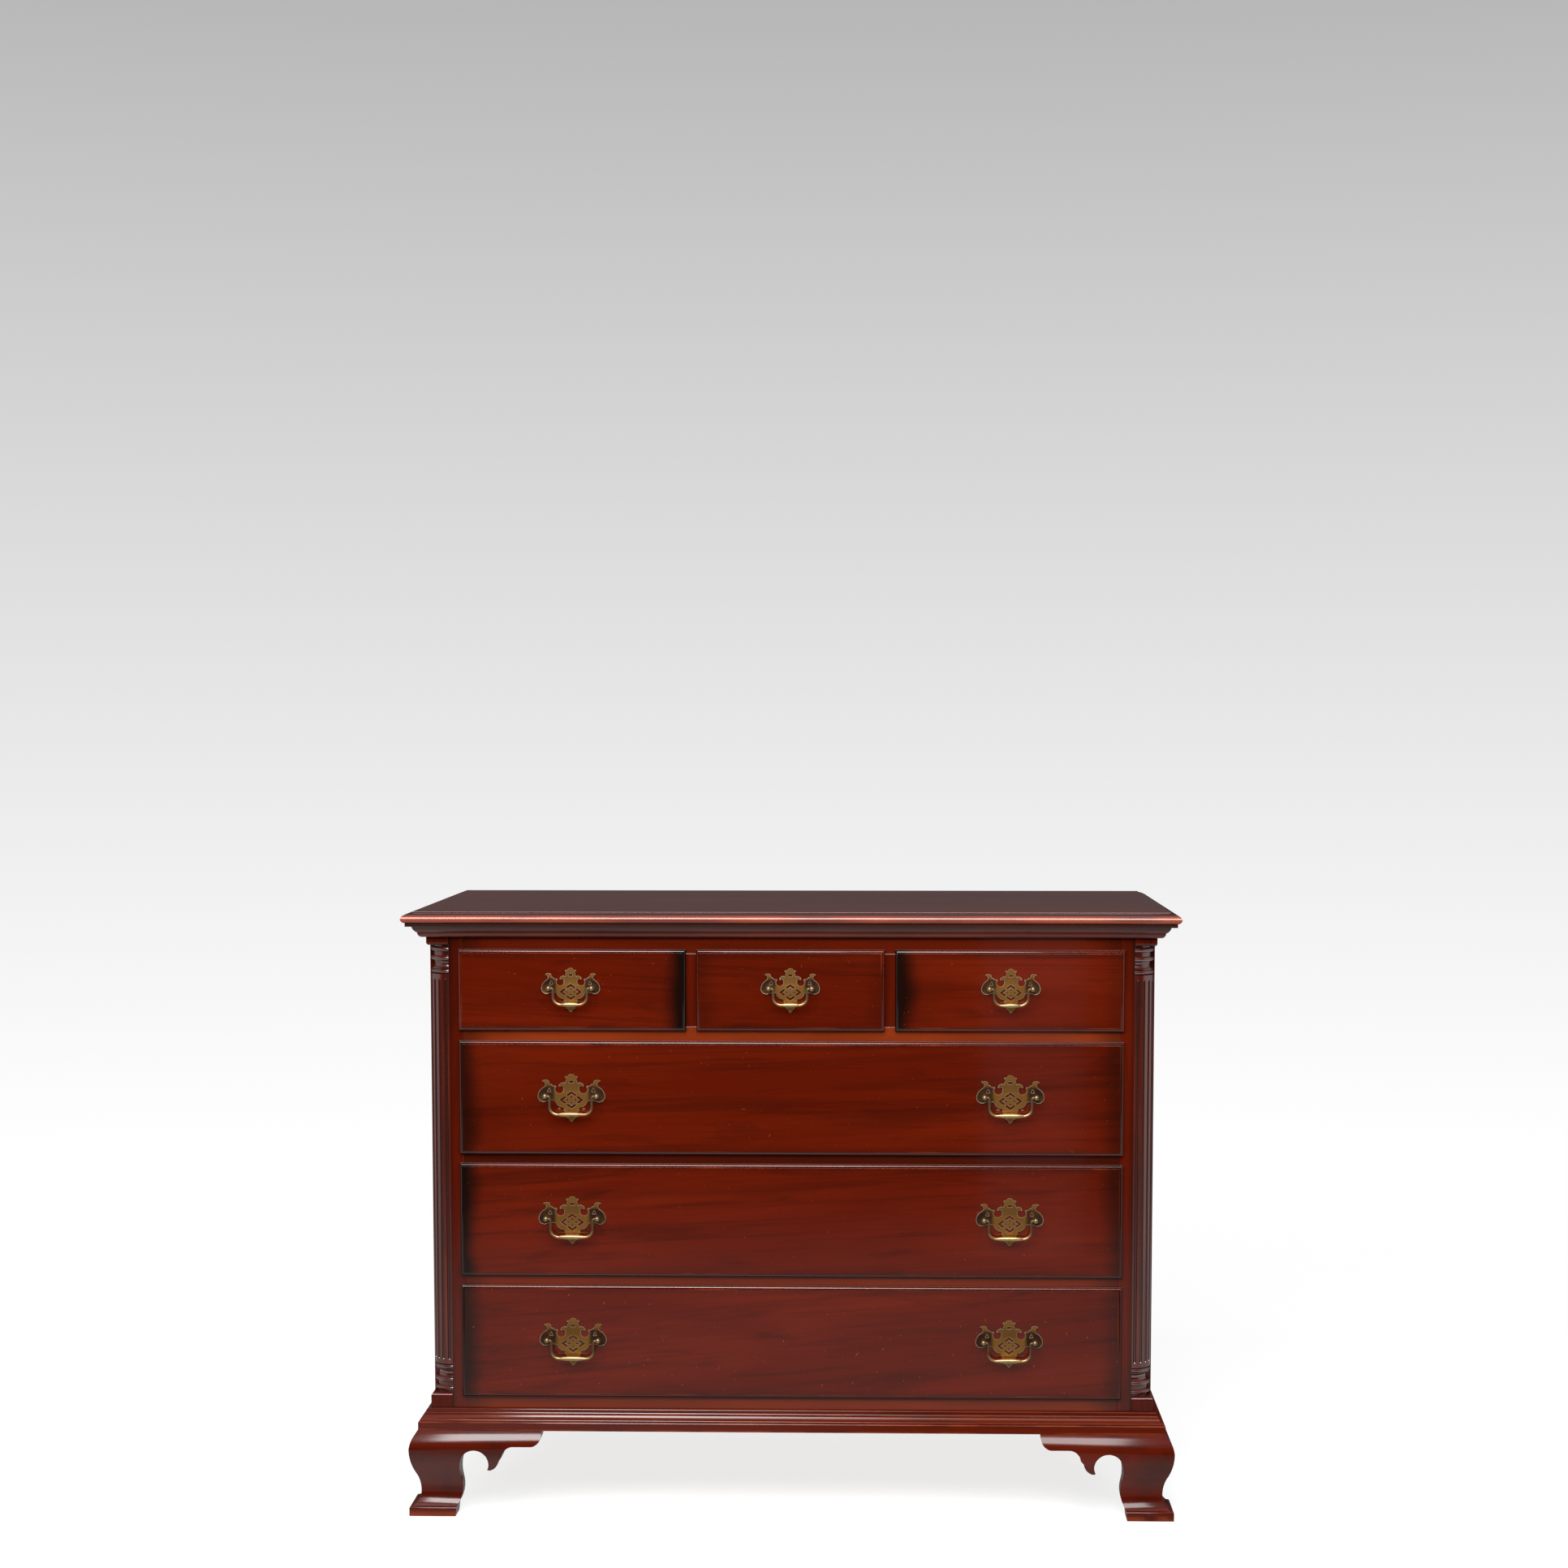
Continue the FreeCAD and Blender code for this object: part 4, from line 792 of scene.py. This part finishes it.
class CHEST_OT_stage(bpy.types.Operator):
    """Set the pale floor, the soft lights and the camera"""

    bl_idname = "chest.stage"
    bl_label = "Stage"

    def execute(self, context):
        _, _, stage = settings()
        self.floor(stage)
        self.backdrop(stage)
        self.lights(stage)
        self.camera(stage)
        context.scene.view_settings.view_transform = "Standard"
        return {"FINISHED"}

    def floor(self, stage):
        """Round pale floor that thins out into the backdrop."""
        shape = bmesh.new()
        bmesh.ops.create_circle(shape, cap_ends=True, segments=96, radius=FLOOR_RADIUS)
        mesh = bpy.data.meshes.new("floor")
        shape.to_mesh(mesh)
        shape.free()
        floor = bpy.data.objects.new("floor", mesh)
        bpy.context.scene.collection.objects.link(floor)
        finish = material("pale_floor")
        place = finish.node("ShaderNodeTexCoord", output="Object")
        away = finish.node("ShaderNodeVectorMath", {"operation": "LENGTH"}, {0: place}, output="Value")
        cloud = finish.noise(place, scale=2.0, detail=2.0)
        shade = finish.blend(cloud * 0.15, stage.floor, [part * 0.96 for part in stage.floor])
        thin = 0.22 - finish.smooth(away, 0.9, 2.9) * 0.22
        mesh.materials.append(finish.surface(base_color=shade, roughness=0.8 - cloud * 0.1, alpha=thin))
        floor.visible_glossy = False

    def backdrop(self, stage):
        """Grey to white behind the chest; for the light, dim walls, a pale ground and a soft ceiling."""
        world = bpy.data.worlds.new("studio")
        bpy.context.scene.world = world
        finish = Finish(world)
        way = finish.node("ShaderNodeTexCoord", output="Generated")
        aside, ahead, rise = finish.split(way)
        seen = finish.blend(finish.ramp(rise, -0.147, 0.25), stage.low, stage.high)
        walls = finish.blend(finish.smooth(ahead, -0.3, 0.6), (0.008, 0.008, 0.008), (0.1, 0.095, 0.095))
        lit = finish.blend(finish.smooth(rise, 0.3, 0.8), walls, (0.5, 0.5, 0.52))
        lit = finish.blend(finish.smooth(abs(aside), 0.72, 0.95), lit, (0.62, 0.61, 0.6))
        ground = finish.blend(finish.smooth(rise, -0.3, -0.7), (0.42, 0.41, 0.4), (1.0, 0.98, 0.96))
        lit = finish.blend(finish.smooth(rise, -0.165, -0.215), lit, ground)
        camera_ray = finish.node("ShaderNodeLightPath", output="Is Camera Ray")
        glow = finish.node("ShaderNodeBackground", values={"Color": finish.blend(camera_ray, lit, seen)})
        finish.node("ShaderNodeOutputWorld", values={"Surface": glow})

    def lights(self, stage):
        """Softboxes over and beside the camera, and the strips that give the fronts their pale streak."""
        lamps = [
            ("bank", stage.bank, (-0.3, -2.6, 2.9), (-0.2, -0.25, 0.6), (2.6, 2.2)),
            ("key_left", stage.key, (-2.6, -2.6, 2.2), (0.0, -0.25, 0.5), (1.0, 1.4)),
            ("key_right", stage.key, (2.6, -2.6, 2.2), (0.0, -0.25, 0.5), (1.0, 1.4)),
            ("overhead", stage.sky, (0.0, 0.1, 3.4), (0.0, 0.0, 0.0), (3.0, 2.2)),
        ]
        for index, (width, foot, head, bright) in enumerate(SHEEN_STRIPS):
            middle, tall = (foot + head) / 2, head - foot
            power = stage.sheen * bright * math.pi * width * tall
            place, target = (SHEEN_SIDE, SHEEN_FRONT, middle), (SHEEN_SIDE, 0.0, middle)
            lamps.append((f"sheen_{index}", power, place, target, (width, tall)))
        for name, power, place, target, size in lamps:
            lamp = bpy.data.lights.new(name, "AREA")
            lamp.shape = "RECTANGLE"
            lamp.size, lamp.size_y = size
            lamp.energy = power
            light = bpy.data.objects.new(name, lamp)
            light.location = place
            light.rotation_euler = (Vector(target) - Vector(place)).to_track_quat("-Z", "Y").to_euler()
            light.visible_camera = False
            light.visible_glossy = not name.startswith("key")
            bpy.context.scene.collection.objects.link(light)

    def camera(self, stage):
        yaw, pitch, roll = (math.radians(angle) for angle in CAMERA_TURN)
        level = Vector((math.sin(yaw), math.cos(yaw), 0.0))
        right = Vector((math.cos(yaw), -math.sin(yaw), 0.0))
        ahead = level * math.cos(pitch) - Vector((0.0, 0.0, math.sin(pitch)))
        up = Vector((0.0, 0.0, math.cos(pitch))) + level * math.sin(pitch)
        tilted_right = right * math.cos(roll) + up * math.sin(roll)
        tilted_up = up * math.cos(roll) - right * math.sin(roll)
        lens = bpy.data.cameras.new("camera")
        lens.sensor_fit = "HORIZONTAL"
        lens.sensor_width = CAMERA_SENSOR
        lens.lens = stage.lens
        lens.shift_x, lens.shift_y = CAMERA_SHIFT
        camera = bpy.data.objects.new("camera", lens)
        turn = Matrix((tilted_right, tilted_up, -ahead)).transposed().to_4x4()
        camera.matrix_world = Matrix.Translation(CAMERA_PLACE) @ turn
        bpy.context.scene.collection.objects.link(camera)
        bpy.context.scene.camera = camera


class CHEST_PT_finishes(bpy.types.Panel):
    """Finishes of the chest and its stage."""

    bl_label = "Chest of Drawers"
    bl_space_type = "VIEW_3D"
    bl_region_type = "UI"
    bl_category = "Chest"

    def draw(self, context):
        for group in settings():
            box = self.layout.box()
            for key in group.bl_rna.properties.keys():
                if key not in ("rna_type", "name"):
                    box.prop(group, key)
        for operator in OPERATORS:
            self.layout.operator(operator.bl_idname)


GROUPS = (ChestWood, ChestBrass, ChestStage)
OPERATORS = (
    CHEST_OT_stage, CHEST_OT_case, CHEST_OT_columns, CHEST_OT_drawer_fronts, CHEST_OT_inner_timber,
    CHEST_OT_pulls,
)


def register():
    for item in (*GROUPS, *OPERATORS, CHEST_PT_finishes):
        bpy.utils.register_class(item)
    bpy.types.Scene.chest_wood = PointerProperty(type=ChestWood)
    bpy.types.Scene.chest_brass = PointerProperty(type=ChestBrass)
    bpy.types.Scene.chest_stage = PointerProperty(type=ChestStage)


def unregister():
    del bpy.types.Scene.chest_wood
    del bpy.types.Scene.chest_brass
    del bpy.types.Scene.chest_stage
    for item in reversed((*GROUPS, *OPERATORS, CHEST_PT_finishes)):
        bpy.utils.unregister_class(item)


def main():
    register()
    bpy.ops.chest.stage()
    bpy.ops.chest.case()
    bpy.ops.chest.columns()
    bpy.ops.chest.drawer_fronts()
    bpy.ops.chest.inner_timber()
    bpy.ops.chest.pulls()


if __name__ == "__main__":
    main()
